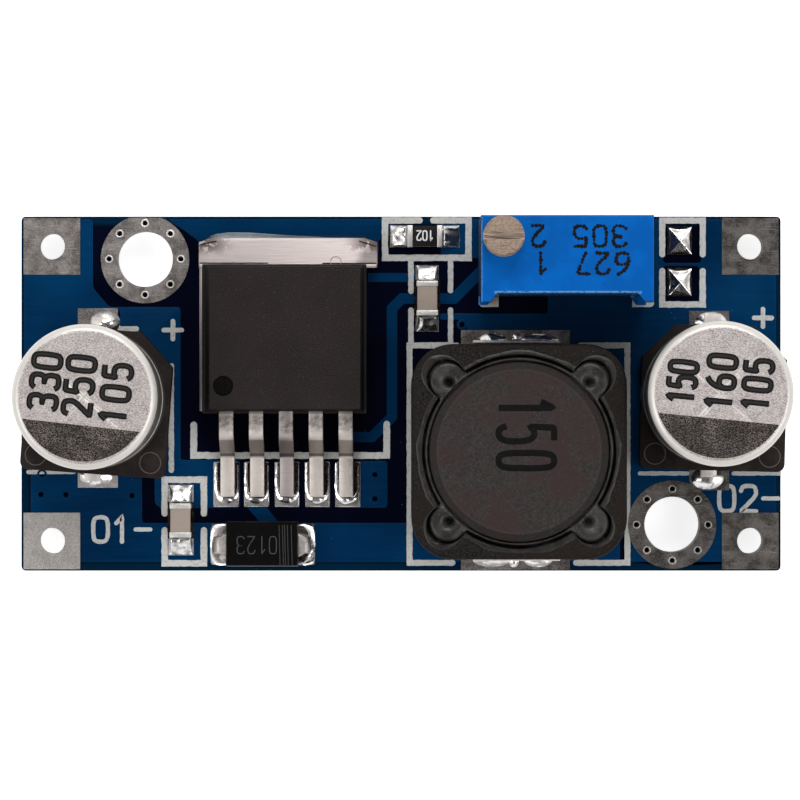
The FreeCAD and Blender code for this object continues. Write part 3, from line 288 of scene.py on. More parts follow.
BOARD_HALF_LENGTH, BOARD_HALF_WIDTH, BOARD_UNDER = 21.8, 10.17, 0.9
COPPER_RISE, COPPER_EDGE = 0.035, 0.012
WIRE_HOLE, VIA_HOLE, RING_SIDES = 0.9, 0.15, 20
MOUNTS = [(-14.7, 7.73), (15.57, -7.52)]
MOUNT_RING, MOUNT_GAP = 2.0, 2.45
SIGNAL_VIAS = [(-20.62, -4.62), (-20.68, -5.79), (-19.25, -5.80), (-15.45, -5.85), (-1.50, -4.65),
               (-1.50, -6.04), (3.50, 3.97)]
TRIMMER_HOLES = [(9.225 + x, 7.085) for x in (-2.54, 0, 2.54)]
BARE_MASK, BARE_MASK_LIT = paint(1, 3, 17), paint(2, 30, 52)
COPPER_MASK, COPPER_MASK_LIGHT = paint(1, 36, 68), paint(2, 50, 88)
LAMINATE, LAMINATE_DARK = paint(142, 128, 76), paint(96, 88, 52)


def keep(name, shape, finish, body="module", stands_for=(), smooth=35):
    """Turns a bmesh in millimetres into a piece that is dressed, rides on its body and is named."""
    mesh = bpy.data.meshes.new(name)
    bmesh.ops.scale(shape, vec=(MM, MM, MM), verts=shape.verts)
    shape.to_mesh(mesh)
    shape.free()
    mesh.materials.append(finish.material)
    mesh.shade_smooth()
    mesh.set_sharp_from_angle(angle=math.radians(smooth))
    piece = bpy.data.objects.new(name, mesh)
    bpy.context.scene.collection.objects.link(piece)
    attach(piece, body)
    if stands_for:
        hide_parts(*stands_for)


def dress(finish, *nodes):
    """Gives CAD nodes a finish."""
    for name in nodes:
        for material_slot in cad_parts[name].material_slots:
            material_slot.material = finish.material


def mask_patterns(finish):
    """What both mask finishes share: slow clouding, orange peel and a few specks of dust."""
    cloud = finish.grain(6, 3).between(0.35, 0.65)
    peel = finish.grain(0.5, 2)
    dust = 1 - finish.cells(1.1).between(0.012, 0.03)
    finish.set(Roughness=0.14 + 0.08 * finish.grain(2.0) + 0.3 * dust, Specular_IOR_Level=0.08,
               Normal=finish.relief(peel, 0.004))
    return cloud, dust


def laminate_finish():
    """Blue mask on the two faces, lighter near the edge of the board as painted light, and glass cloth on its
    sides.
    """
    finish = Finish("mask on bare laminate")
    cloud, dust = mask_patterns(finish)
    from_end = BOARD_HALF_LENGTH - abs(finish.axis("X"))
    from_side = BOARD_HALF_WIDTH - abs(finish.axis("Y"))
    # Painted light: the bare mask is lightened towards BARE_MASK_LIT near the board's edges, as if lit
    # through the laminate from the sides.
    rim = 1 - from_end.maths("MINIMUM", from_end, from_side).between(0.3, 0.62)
    mask = finish.blend(cloud, BARE_MASK, paint(4, 7, 26))
    mask = finish.blend(rim, mask, BARE_MASK_LIT)
    mask = finish.blend(dust * 0.5, mask, paint(120, 130, 140))
    layers = finish.grain(detail=2, where=finish.stretch(1.4, 1.4, 0.11)).between(0.4, 0.6)
    threads = finish.grain(detail=1, where=finish.stretch(0.25, 0.25, 0.8)).between(0.35, 0.6)
    cloth = finish.blend(layers * threads, LAMINATE_DARK, LAMINATE)
    face = abs(finish.facing_up()) > 0.5
    return finish.set(Base_Color=finish.blend(face, cloth, mask))


def copper_mask_finish():
    """Blue mask over copper: lighter, with the copper's rolling marks just showing, and a painted highlight
    on its sloping edges.
    """
    finish = Finish("mask on copper")
    cloud, dust = mask_patterns(finish)
    rolled = finish.grain(detail=2, where=finish.stretch(4, 0.16, 1)).between(0.3, 0.7)
    colour = finish.blend(0.75 * cloud + 0.25 * rolled, COPPER_MASK, COPPER_MASK_LIGHT)
    # Painted highlight: the sloping edges of the copper under the mask are given a lighter blue.
    edge = 1 - finish.facing_up().between(0.75, 0.97)
    colour = finish.blend(edge * 0.7, colour, paint(34, 84, 118))
    return finish.set(Base_Color=finish.blend(dust * 0.4, colour, paint(130, 140, 150)))


def rounded(outline, radius, steps=4):
    """An outline with each of its corners turned into a short arc."""
    points = []
    for before, corner, after in zip(outline[-1:] + outline[:-1], outline, outline[1:] + outline[:1]):
        corner, before, after = Vector(corner), Vector(before), Vector(after)
        reach = min(radius, (before - corner).length / 2.2, (after - corner).length / 2.2)
        start = corner + (before - corner).normalized() * reach
        end = corner + (after - corner).normalized() * reach
        for step in range(steps + 1):
            share = step / steps
            points.append(start.lerp(corner, share).lerp(corner.lerp(end, share), share))
    return points


def flat_sheet(outlines, level, thickness, edge):
    """A thin flat sheet between outlines, inner ones being holes, with a rounded upper edge."""
    curve = bpy.data.curves.new("sheet", "CURVE")
    curve.dimensions, curve.fill_mode = "2D", "BOTH"
    curve.extrude, curve.bevel_depth, curve.bevel_resolution = thickness / 2 - edge, edge, 2
    curve.offset = -edge
    for outline in outlines:
        spline = curve.splines.new("POLY")
        spline.points.add(len(outline) - 1)
        for point, place in zip(spline.points, outline):
            point.co = (place[0], place[1], 0, 1)
        spline.use_cyclic_u = True
    holder = bpy.data.objects.new("sheet", curve)
    mesh = bpy.data.meshes.new_from_object(holder)
    shape = bmesh.new()
    shape.from_mesh(mesh)
    bpy.data.objects.remove(holder)
    bmesh.ops.remove_doubles(shape, verts=shape.verts, dist=0.0005)
    bmesh.ops.translate(shape, verts=shape.verts, vec=(0, 0, level + thickness / 2))
    bmesh.ops.recalc_face_normals(shape, faces=shape.faces)
    return shape


def gather(shapes):
    """One bmesh out of several."""
    whole = bmesh.new()
    for shape in shapes:
        part = bpy.data.meshes.new("part")
        shape.to_mesh(part)
        shape.free()
        whole.from_mesh(part)
        bpy.data.meshes.remove(part)
    return whole


def ribbon(path, width, level, thickness, closed=False, ragged=0.0, round_ends=True, step=0.12):
    """A flat stroke of even width along a path, with mitred corners and rounded ends."""
    path = [Vector(point) for point in path]
    if closed:
        path.append(path[0])
    stops = []
    for start, end in zip(path, path[1:]):
        length = (end - start).length
        count = max(1, round(length / step))
        clear = width * 0.55
        for index in range(count):
            along = length * index / count
            if index == 0 or (clear < along < length - clear):
                stops.append(start.lerp(end, along / length))
    if not closed:
        stops.append(path[-1])
    sections = []
    for index, place in enumerate(stops):
        ahead = stops[(index + 1) % len(stops)] - place if closed or index + 1 < len(stops) else None
        behind = place - stops[index - 1] if closed or index > 0 else None
        one = (ahead or behind).normalized()
        other = (behind or ahead).normalized()
        along = (one + other).normalized()
        across = Vector((-along.y, along.x))
        mitre = 1 / max(0.5, along.dot(one))
        rough = [ragged * noise.noise(Vector((place.x * 5, place.y * 5, side * 7.3))) for side in (1, 2)]
        sections.append((place + across * (width / 2 * mitre + rough[0]),
                         place - across * (width / 2 * mitre + rough[1])))
        if round_ends and not closed and index in (0, len(stops) - 1):
            outward = -along if index == 0 else along
            caps = []
            for turn in (0.35, 0.7, 1.0, 1.25, 1.45):
                middle = place + outward * (width / 2 * math.sin(turn))
                half = across * (width / 2 * math.cos(turn))
                caps.append((middle + half, middle - half))
            sections = caps[::-1] + sections if index == 0 else sections + caps
    shape = bmesh.new()
    corners = []
    for left, right in sections:
        corners.append([shape.verts.new((*side, height)) for height in (level, level + thickness)
                        for side in (left, right)])
    links = list(zip(corners, corners[1:]))
    if closed:
        links.append((corners[-1], corners[0]))
    for one, other in links:
        for low, high in ((0, 1), (1, 3), (3, 2), (2, 0)):
            shape.faces.new((one[low], one[high], other[high], other[low]))
    if not closed:
        for end in (corners[0], corners[-1]):
            shape.faces.new((end[0], end[1], end[3], end[2]))
    bmesh.ops.recalc_face_normals(shape, faces=shape.faces)
    return shape


def ring_outline(x, y, radius, steps=RING_SIDES):
    turns = [2 * math.pi * step / steps for step in range(steps)]
    return [(x + radius * math.cos(turn), y + radius * math.sin(turn)) for turn in turns]


def lay_copper():
    """The pours and traces of the upper face, open round every hole."""
    vias = [ring_outline(*place, VIA_HOLE) for place in SIGNAL_VIAS]
    pours = [
        [[(-21.63, 10.0), (-17.7, 10.0), (-17.7, 6.07), (-16.75, 4.97), (-12.67, 4.97), (-12.67, -3.81),
          (-9.25, -3.81), (-9.25, -6.57), (-13.85, -6.57), (-14.14, -6.28), (-14.14, -3.53), (-21.63, -3.53)],
         ring_outline(-20.05, 8.46, WIRE_HOLE)],
        [[(-21.26, -3.76), (-14.88, -3.76), (-14.88, -7.43), (-9.25, -7.43), (-9.25, -9.67), (-21.26, -9.67)],
         ring_outline(-20.05, -8.46, WIRE_HOLE), *vias[:4]],
        [[(-6.04, -7.43), (12.57, -7.43), (12.57, -9.67), (-6.04, -9.67)]],
        [[(2.23, 4.6), (8.44, 4.6), (8.44, 10.0), (21.53, 10.0), (21.53, -9.67), (13.15, -9.67),
          (13.15, -4.96), (3.44, -4.96), (3.44, 3.6), (3.8, 3.6), (3.8, 4.25), (2.23, 4.25)],
         ring_outline(20.05, 8.46, WIRE_HOLE), ring_outline(20.05, -8.46, WIRE_HOLE),
         ring_outline(*MOUNTS[1], MOUNT_GAP),
         [(15.04, 9.86), (17.23, 9.86), (17.23, 7.5), (15.04, 7.5)],
         [(15.04, 7.33), (17.11, 7.33), (17.11, 5.32), (15.04, 5.32)]],
        [[(-13.39, 10.0), (-0.35, 10.0), (-0.35, 9.22), (-1.33, 8.82), (-1.33, 7.56), (-11.61, 7.56),
          (-11.61, 8.77), (-12.47, 9.4)]],
        [[(-3.51, -3.87), (-0.78, -3.87), (-0.78, -6.54), (-3.51, -6.54)], *vias[4:6]],
        [[(2.29, 10.0), (5.11, 10.0), (5.11, 7.79), (2.29, 7.79)]],
    ]
    sheets = [flat_sheet([rounded(outline, 0.22) if len(outline) < RING_SIDES else outline
                          for outline in pour], BOARD_TOP, COPPER_RISE, COPPER_EDGE) for pour in pours]
    traces = [
        [(1.09, 5.46), (0.05, 5.46), (-0.52, 4.89), (-0.52, -1.34), (-1.67, -2.49), (-3.22, -2.49)],
        [(1.77, 5.46), (3.04, 5.46), (5.68, 8.13)],
        [(-8.62, -6.11), (-7.2, -7.83)],
        [(-1.9, 6.67), (1.09, 6.67)],
    ]
    widths = [0.6, 0.62, 0.85, 0.52]
    sheets += [ribbon(trace, width, BOARD_TOP, COPPER_RISE * 0.9, round_ends=False)
               for trace, width in zip(traces, widths)]
    return gather(sheets)


copper_mask = copper_mask_finish()
keep("masked_copper_upper", lay_copper(), copper_mask)
under = [rounded([(-17.9, -9.8), (17.9, -9.8), (17.9, -6.3), (21.5, -6.3), (21.5, 6.3), (17.9, 6.3),
                  (17.9, 9.8), (-17.9, 9.8), (-17.9, 6.3), (-21.5, 6.3), (-21.5, -6.3), (-17.9, -6.3)], 0.3)]
under += [ring_outline(*place, MOUNT_RING) for place in MOUNTS]
under += [ring_outline(*place, WIRE_HOLE) for place in TRIMMER_HOLES]
keep("masked_copper_under", flat_sheet(under, BOARD_UNDER - COPPER_RISE, COPPER_RISE, COPPER_EDGE),
     copper_mask)
dress(laminate_finish(), "circuit_board")


# Pads, rings and plated holes
# Copper left bare of mask and dipped in molten tin, which freezes as a dull grey skin with fine
# speckle. Two mounting rings are stitched with eight small plated vias each, and seven more join
# the pours to the lower face.

PAD_RISE = 0.07
PAD_TOP = BOARD_TOP + PAD_RISE
VIA_CIRCLE = 2.06
VIA_RIM, SWELLING = 0.235, 0.3


def pad_tin_finish(name, dark, light, shine, corner_paling=0.6):
    """Hot-dipped tin: grey, mottled, with speckle and a few bright scratches, paler towards one corner and
    darker towards the right.
    """
    finish = Finish(name)
    mottle = finish.grain(0.9, 4, roughness=0.6).between(0.36, 0.64)
    speckle = finish.grain(0.07, 4, roughness=0.75)
    scratch = 1 - finish.grain(detail=1, where=finish.stretch(1.2, 0.06, 1, turn=37)).between(0.27, 0.33)
    level = 0.5 * mottle + 0.5 * speckle.between(0.35, 0.68)
    colour = finish.blend(level, dark, light)
    colour = finish.blend(scratch * 0.3, colour, paint(235, 230, 225))
    colour = finish.blend(finish.axis("X").between(6, 16) * 0.4, colour, paint(54, 56, 50))
    left, near = 1 - finish.axis("X").between(-18, 10), 1 - finish.axis("Y").between(-7, 4)
    patchy = 0.6 + 0.4 * speckle.between(0.4, 0.6)
    colour = finish.blend(corner_paling * (0.2 * left + left * near) * patchy, colour, paint(236, 230, 224))
    return finish.set(Base_Color=colour, Metallic=1.0, Roughness=shine + 0.22 * speckle,
                      Normal=finish.relief(speckle, 0.012))


def pattern_tree(name, *measures):
    """A Geometry Nodes tree for named measures and a material; returns it with its inputs as signals."""
    tree = bpy.data.node_groups.new(name, "GeometryNodeTree")
    for title in ("Geometry", *measures, "Material"):
        kind = "Float" if title in measures else title
        tree.interface.new_socket(title, in_out="INPUT", socket_type=f"NodeSocket{kind}")
    tree.interface.new_socket("Geometry", in_out="OUTPUT", socket_type="NodeSocketGeometry")
    nodes = Nodes(tree)
    group_input = tree.nodes.new("NodeGroupInput")
    return nodes, {socket.name: Signal(nodes, socket) for socket in group_input.outputs if socket.name}


def finish_tree(nodes, geometry, given):
    """Ends a tree in Realize Instances and Set Material."""
    geometry = nodes.shape("RealizeInstances", Geometry=geometry)
    geometry = nodes.shape("SetMaterial", Geometry=geometry, Material=given["Material"])
    nodes.feed(nodes.tree.nodes.new("NodeGroupOutput").inputs[0], geometry)
    return nodes.tree


def run_pattern(tree, base, inputs):
    """Runs a tree on a base mesh and returns the result as a bmesh."""
    carrier = bpy.data.objects.new("carrier", base)
    bpy.context.scene.collection.objects.link(carrier)
    modifier = carrier.modifiers.new("pattern", "NODES")
    modifier.node_group = tree
    for item in tree.interface.items_tree:
        if item.name in inputs and item.in_out == "INPUT":
            modifier[item.identifier] = inputs[item.name]
    made = bpy.data.meshes.new_from_object(carrier.evaluated_get(bpy.context.evaluated_depsgraph_get()))
    bpy.data.objects.remove(carrier)
    shape = bmesh.new()
    shape.from_mesh(made)
    bmesh.ops.remove_doubles(shape, verts=shape.verts, dist=0.0002)
    bmesh.ops.recalc_face_normals(shape, faces=shape.faces)
    return shape


def path_mesh(paths):
    """Bare edges along paths, for a tree to follow. A path ends with its first point to close."""
    mesh = bpy.data.meshes.new("paths")
    places, edges = [], []
    for path in paths:
        closed = len(path) > 2 and tuple(path[0]) == tuple(path[-1])
        first = len(places)
        places += [(*point, 0)[:3] for point in (path[:-1] if closed else path)]
        edges += [(index, index + 1) for index in range(first, len(places) - 1)]
        if closed:
            edges.append((len(places) - 1, first))
    mesh.from_pydata(places, edges, [])
    return mesh


def rim_tree():
    """A small round rim with a barrel, on every point."""
    nodes, given = pattern_tree("via rims", "Hole", "Rim", "Rise", "Depth")
    hole, rim, depth = given["Hole"], given["Rim"], given["Depth"]
    section = nodes.shape("Transform", Geometry=nodes.circle(10, (rim - hole) / 2),
                          Scale=nodes.vector(1.0, given["Rise"], 1.0))
    ring = nodes.shape("CurveToMesh", Curve=nodes.circle(24, (hole + rim) / 2), Profile_Curve=section)
    wall = nodes.shape("CurvePrimitiveQuadrilateral", "RECTANGLE", Width=hole * 0.08, Height=depth)
    barrel = nodes.shape("CurveToMesh", Curve=nodes.circle(24, hole * 1.04), Profile_Curve=wall)
    barrel = nodes.shape("Transform", Geometry=barrel, Translation=nodes.vector(z=depth / -2))
    spread = nodes.shape("InstanceOnPoints", Points=given["Geometry"], Instance=nodes.join(ring, barrel))
    return finish_tree(nodes, spread, given)


pad_tin = pad_tin_finish("pad tin", paint(56, 52, 50), paint(172, 164, 159), 0.26)
dress(pad_tin, "wire_pads", "mounting_hole_plating", "trimmer_hole_plating", "power_part_pads",
      "small_part_pads")
dress(copper_mask, "signal_vias")
bright_tin = pad_tin_finish("bright tin", paint(190, 184, 178), paint(240, 236, 230), 0.3)
stitches = [(x + VIA_CIRCLE * math.cos(turn), y + VIA_CIRCLE * math.sin(turn))
            for x, y in MOUNTS for turn in [math.pi / 4 * index for index in range(8)]]
rims = run_pattern(rim_tree(), path_mesh([[(*place, PAD_TOP)] for place in stitches]), {
    "Hole": VIA_HOLE, "Rim": VIA_RIM, "Rise": 0.35, "Depth": 1.0, "Material": bright_tin.material})
keep("via_rims", rims, bright_tin)
swellings = [flat_sheet([ring_outline(*place, SWELLING), ring_outline(*place, 0.17)],
                        BOARD_TOP + 0.028, 0.03, COPPER_EDGE) for place in SIGNAL_VIAS]
keep("masked_via_rims", gather(swellings), copper_mask)
# Painted shade: discs of mask halfway down every via stand in for the dark inside of the holes, so the pale
# bench doesn't show through.
shade_plugs = [flat_sheet([ring_outline(*place, 0.165)], 1.5, 0.08, 0.02) for place in stitches + SIGNAL_VIAS]
keep("via_shade_plugs", gather(shade_plugs), copper_mask)


# Printed lines and figures on the board
# Off-white ink, screened over the mask round each part, a hair thick, with slightly ragged edges.
# Plus and minus signs and plain figures mark the wire pads.

INK_LEVEL, INK_RISE = PAD_TOP - COPPER_RISE, 0.02
FIGURES = {
    "0": [[(0.12, 0), (0.48, 0), (0.6, 0.15), (0.6, 0.85), (0.48, 1), (0.12, 1), (0, 0.85), (0, 0.15),
           (0.12, 0)]],
    "1": [[(0.08, 0.76), (0.32, 1.0), (0.32, 1.0), (0.32, 0.0)]],
    "2": [[(0, 0.8), (0.08, 1), (0.52, 1), (0.6, 0.82), (0.6, 0.6), (0, 0), (0, 0), (0.6, 0)]],
    "3": [[(0, 0.86), (0.1, 1), (0.5, 1), (0.6, 0.86), (0.6, 0.64), (0.5, 0.53), (0.24, 0.53), (0.24, 0.53),
           (0.5, 0.51), (0.6, 0.38), (0.6, 0.12), (0.5, 0), (0.1, 0), (0, 0.14)]],
    "5": [[(0.56, 1), (0.06, 1), (0.06, 1), (0.02, 0.56), (0.02, 0.56), (0.15, 0.64), (0.45, 0.64),
           (0.6, 0.48), (0.6, 0.14), (0.45, 0), (0.12, 0), (0, 0.14)]],
    "6": [[(0.5, 1), (0.2, 0.86), (0, 0.5), (0, 0.14), (0.12, 0), (0.48, 0), (0.6, 0.14), (0.6, 0.42),
           (0.48, 0.56), (0.16, 0.56), (0.05, 0.44)]],
    "7": [[(0, 1), (0.6, 1), (0.6, 1), (0.2, 0)]],
    "8": [[(0.16, 0.54), (0.44, 0.54), (0.58, 0.64), (0.58, 0.88), (0.46, 1), (0.14, 1), (0.02, 0.88),
           (0.02, 0.64), (0.16, 0.54)],
          [(0.14, 0.5), (0.46, 0.5), (0.6, 0.38), (0.6, 0.12), (0.46, 0), (0.14, 0), (0, 0.12), (0, 0.38),
           (0.14, 0.5)]],
    "-": [[(0.02, 0.5), (0.62, 0.5)]],
}
FIGURE_STEP = 0.86


def figure_paths(text, height, middle, turn=0, width_share=1.0, step=FIGURE_STEP):
    """The pen strokes of a line of figures round a middle, turned by degrees."""
    paths = []
    half = (step * (len(text) - 1) + 0.6) / 2
    spin = Matrix.Rotation(math.radians(turn), 2)
    for index, letter in enumerate(text):
        for stroke in FIGURES.get(letter, []):
            closed = stroke[0] == stroke[-1]
            points = [Vector(point) for point in stroke]
            for _ in range(2):
                points = cut_corners(points, closed)
            placed = []
            for point in points:
                local = Vector(((point.x + step * index - half) * width_share, point.y - 0.5)) * height
                placed.append(tuple(Vector(middle) + spin @ local))
            paths.append(placed)
    return paths


def cut_corners(points, closed):
    """One round of corner cutting. A point that is given twice stays a sharp corner."""
    cut = [] if closed else [points[0]]
    for one, other in zip(points, points[1:]):
        if (one - other).length < 1e-6:
            cut.append(one)
            continue
        cut += [one.lerp(other, 0.25), one.lerp(other, 0.75)]
    cut.append(cut[0] if closed else points[-1])
    return cut


def figure_strokes(paths, width, level, rise, **style):
    """Flat strokes along the paths of figures. A path that ends where it starts is closed."""
    return [ribbon(path[:-1] if path[0] == path[-1] else path, width, level, rise,
                   closed=path[0] == path[-1], **style) for path in paths]


def ink_finish(name, thin, thick):
    """Screened ink: even, matt, thinner in places."""
    finish = Finish(name)
    worn = finish.grain(0.18, 4, roughness=0.65).between(0.3, 0.52)
    return finish.set(Base_Color=finish.blend(worn, thin, thick), Roughness=0.6,
                      Normal=finish.relief(finish.grain(0.12), 0.004))


BOARD_LINES = [
    (0.37, [(-13.57, -6.87), (-13.57, -4.94), (-11.32, -4.94), (-11.32, -6.87)]),
    (0.37, [(-13.57, -7.85), (-13.57, -9.74), (-11.32, -9.74), (-11.32, -7.85)]),
    (0.37, [(1.06, 9.95), (-0.92, 9.95), (-0.92, 7.8), (3.87, 7.8), (3.87, 9.95), (1.86, 9.95)]),
    (0.31, [(0.57, 7.6), (0.57, 5.88)]),
    (0.31, [(2.84, 7.6), (2.84, 5.92)]),
    (0.31, [(0.57, 4.8), (0.57, 3.0)]),
    (0.31, [(2.84, 4.8), (2.84, 3.0)]),
    (0.34, [(3.2, 2.77), (0.49, 2.77), (0.49, -9.71), (2.95, -9.71)]),
    (0.34, [(10.3, 2.77), (13.0, 2.77), (13.0, -9.71), (10.05, -9.71)]),
    (0.35, [(15.0, 8.0), (15.0, 9.94), (17.32, 9.94), (17.32, 8.0)]),
    (0.35, [(15.0, 7.04), (15.0, 5.12), (17.32, 5.12), (17.32, 7.04)]),
    (0.45, [(4.7, 5.2), (5.38, 5.2), (5.38, 5.9)]),
    (0.45, [(13.5, 5.9), (13.5, 5.2), (14.3, 5.2)]),
    (0.38, [(-11.9, -1.8), (-11.9, -3.55), (-0.82, -3.55), (-0.82, -1.75)]),
    (0.3, [(-16.15, 3.72), (-15.2, 3.72)]),
    (0.3, [(-13.19, 1.6), (-13.19, -4.4)]),
    (0.24, [(-21.4, -4.5), (-18.8, -4.5)]),
    (0.24, [(13.72, -4.58), (16.45, -4.58)]),
    (0.24, [(19.1, -4.58), (21.7, -4.58)]),
    (0.27, [(-13.62, 3.65), (-12.6, 3.65)]),
    (0.27, [(-13.1, 4.16), (-13.1, 3.14)]),
    (0.27, [(20.28, 4.35), (21.28, 4.35)]),
    (0.27, [(20.78, 4.85), (20.78, 3.85)]),
]


def print_board():
    """All strokes, each a hair higher than the last so that crossings don't flicker."""
    strokes = [ribbon(path, width, INK_LEVEL, INK_RISE + 0.0006 * (index % 9), ragged=0.03)
               for index, (width, path) in enumerate(BOARD_LINES)]
    labels = figure_paths("01-", 1.4, (-16.05, -7.8)) + figure_paths("02-", 1.45, (19.95, -6.02))
    return gather(strokes + figure_strokes(labels, 0.24, INK_LEVEL, INK_RISE, ragged=0.02, step=0.2))


board_ink = ink_finish("board ink", paint(156, 157, 155), paint(184, 184, 181))
keep("board_print", print_board(), board_ink)


# Solder
# Tin alloy, melted on printed paste. It freezes bright and lumpy, climbs the end of each chip part
# and each lead, and stops at the edge of its pad. The two spare pads carry it as hipped mounds.

UPPER_CHIP, LOWER_CHIP, RESISTOR = (1.50, 5.47), (-12.64, -7.26), (1.367, 9.03)
DIODE = (-7.94, -8.65)
SPARE_PADS = [(16.0, 8.79), (16.0, 6.41)]


def solder_finish():
    finish = Finish("solder")
    lumps = finish.grain(0.4, 2)
    pits = finish.grain(0.08, 3, roughness=0.7)
    colour = finish.blend(lumps.between(0.3, 0.6), paint(214, 212, 210), paint(240, 238, 236))
    dull = finish.grain(0.45, 2).between(0.5, 0.62)
    return finish.set(Base_Color=finish.blend(dull * 0.6, colour, paint(128, 122, 120)), Metallic=1.0,
                      Roughness=0.16 + 0.2 * dull, Normal=finish.relief(0.75 * lumps + 0.25 * pits, 0.012))


def place_at(x, y, turn=0):
    return Matrix.Translation((x, y, 0)) @ Matrix.Rotation(math.radians(turn), 4, "Z")


def pool(left, right, near, far, height, spot, step=0.05, pull=0.0, shore=None):
    """A closed body of solder over a rectangle, its top at height(x, y) above the pads.

    A shore gives the far edge at each x in place of far.
    """
    across = max(6, round((right - left) / step))
    along = max(6, round((far - near) / step))
    shape = bmesh.new()

    def row(top):
        rows = []
        for j in range(along + 1):
            y = near + (far - near) * j / along
            line = []
            for i in range(across + 1):
                x = left + (right - left) * i / across
                if shore:
                    y = near + (shore(x) - near) * j / along
                u, v = 2 * i / across - 1, 2 * j / along - 1
                squeeze = Vector((x - (right - left) / 2 * pull * u * (1 - v * v),
                                  y - (far - near) / 2 * pull * v * (1 - u * u)))
                lift = height(x, y) if top else -0.02
                line.append(shape.verts.new(spot @ Vector((squeeze.x, squeeze.y, PAD_TOP + lift))))
            rows.append(line)
        return rows

    upper, lower = row(True), row(False)
    for j in range(along):
        for i in range(across):
            for rows, order in ((upper, 1), (lower, -1)):
                ring = [rows[j][i], rows[j][i + 1], rows[j + 1][i + 1], rows[j + 1][i]]
                shape.faces.new(ring[::order])
    edges = ([(j, 0) for j in range(along + 1)] + [(along, i) for i in range(1, across + 1)]
             + [(j, across) for j in range(along - 1, -1, -1)] + [(0, i) for i in range(across - 1, 0, -1)])
    for one, other in zip(edges, edges[1:] + edges[:1]):
        shape.faces.new((upper[one[0]][one[1]], upper[other[0]][other[1]],
                         lower[other[0]][other[1]], lower[one[0]][one[1]]))
    bmesh.ops.recalc_face_normals(shape, faces=shape.faces)
    return shape


def lump(x, y, size, seed):
    return noise.noise(Vector((x / size, y / size, seed)))


def edge_fall(x, y, left, right, near, far, reach):
    """Falls from 1 to 0 like a drop's edge within reach of the rectangle's sides."""
    inside = min(x - left, right - x, y - near, far - y)
    share = max(0.0, min(1.0, inside / reach))
    return math.sqrt(1 - (1 - share) ** 2)


def chip_joint(place, width, face, outside, climb, seed):
    """Solder between a chip part's end face and the outer edge of its pad, at its +Y end."""
    left, right, near, far = -width / 2, width / 2, face - 0.06, outside - 0.03
    beyond = 9  # millimetres, so that a side this far off doesn't count

    def height(x, y):
        share = max(0.0, (y - face) / (far - face))
        slope = climb * (1 - share) ** 1.1 + 0.06 * math.sin(math.pi * min(1, share)) ** 0.6
        slope *= 1 - 0.55 * math.exp(-((y - face) / 0.07) ** 2)
        wave = 0.09 * lump(x, y, 0.45, seed)
        sides = edge_fall(x, far, left, right, near - beyond, far + beyond, 0.22)
        return 0.02 + (slope + wave * (1 - share * share)) * (0.4 + 0.6 * sides) * edge_fall(
            x, y, left, right, near - beyond, far, 0.12)

    return pool(left, right, near, far, height, place)


def both_joints(x, y, turn, width, face, outside, climb, seed):
    return [chip_joint(place_at(x, y, turn + flip), width, face, outside, climb, seed + flip / 50)
            for flip in (0, 180)]


def diode_joint(x, y, turn, seed):
    """A soft pillow of solder on a diode's pad, higher beside the lead than over it."""
    half, start, end = 1.12, 1.9, 3.0

    def height(across, out):
        beside = abs(across) / 1.2
        swell = 0.03 + 0.5 * beside ** 1.6 + 0.04 * lump(across, out, 0.4, seed)
        round_off = 1 - ((out - start) / 1.12) ** 2 * (0.75 + 0.25 * beside ** 3)
        return -0.03 + swell * max(0.0, round_off) + 0.05 * edge_fall(across, out, -half, half, 0, end, 0.2)

    return pool(-half, half, start, end, height, place_at(x, y, turn), pull=-0.06)


def spare_mound(x, y, seed):
    """A hipped mound with hollow flanks over a bare pad."""
    half_x, half_y = 0.68, 0.79

    def height(u, v):
        reach = max(abs(u - 0.05) / half_x, abs(v + 0.06) / half_y)
        ridge = abs(u) / half_x * abs(v) / half_y
        rise = 0.33 * max(0.0, 1 - reach) + 0.12 * ridge * max(0.0, 1 - reach)
        wave = 0.035 * lump(u, v, 0.4, seed) + 0.02 * lump(u, v, 0.12, seed + 3) * max(0.0, -v)
        return 0.03 + rise + wave * edge_fall(u, v, -half_x, half_x, -half_y, half_y, 0.3)

    return pool(-half_x, half_x, -half_y, half_y, height, place_at(x, y), step=0.035, pull=0.17)


def small_joints():
    shapes = both_joints(*UPPER_CHIP, 0, 1.24, 0.99, 1.91, 0.45, 1.3)
    shapes += both_joints(*LOWER_CHIP, 0, 1.36, 0.975, 2.02, 0.45, 4.1)
    shapes += both_joints(*RESISTOR, 90, 1.27, 1.0, 2.0, 0.42, 7.7)
    shapes += [diode_joint(*DIODE, 90, 2.6), diode_joint(*DIODE, -90, 6.1)]
    shapes += [spare_mound(*place, seed) for place, seed in zip(SPARE_PADS, (2.2, 5.8))]
    return gather(shapes)


solder = solder_finish()
keep("small_joints", small_joints(), solder, stands_for=["small_part_solder"], smooth=60)


# Regulator
# A black moulding over a copper tab, with five tin-plated gull-wing leads. The tab lies on its pad
# behind the moulding. The leads step down to five pads, where solder stands round each foot.

SHARP_EDGE = math.radians(40)
LEAD_PITCH, PAD_PITCH = 1.70, 1.765
REGULATOR_X = -6.55
FOOT_PLACES = [REGULATOR_X + (index - 2) * (LEAD_PITCH + PAD_PITCH) / 2 for index in range(5)]


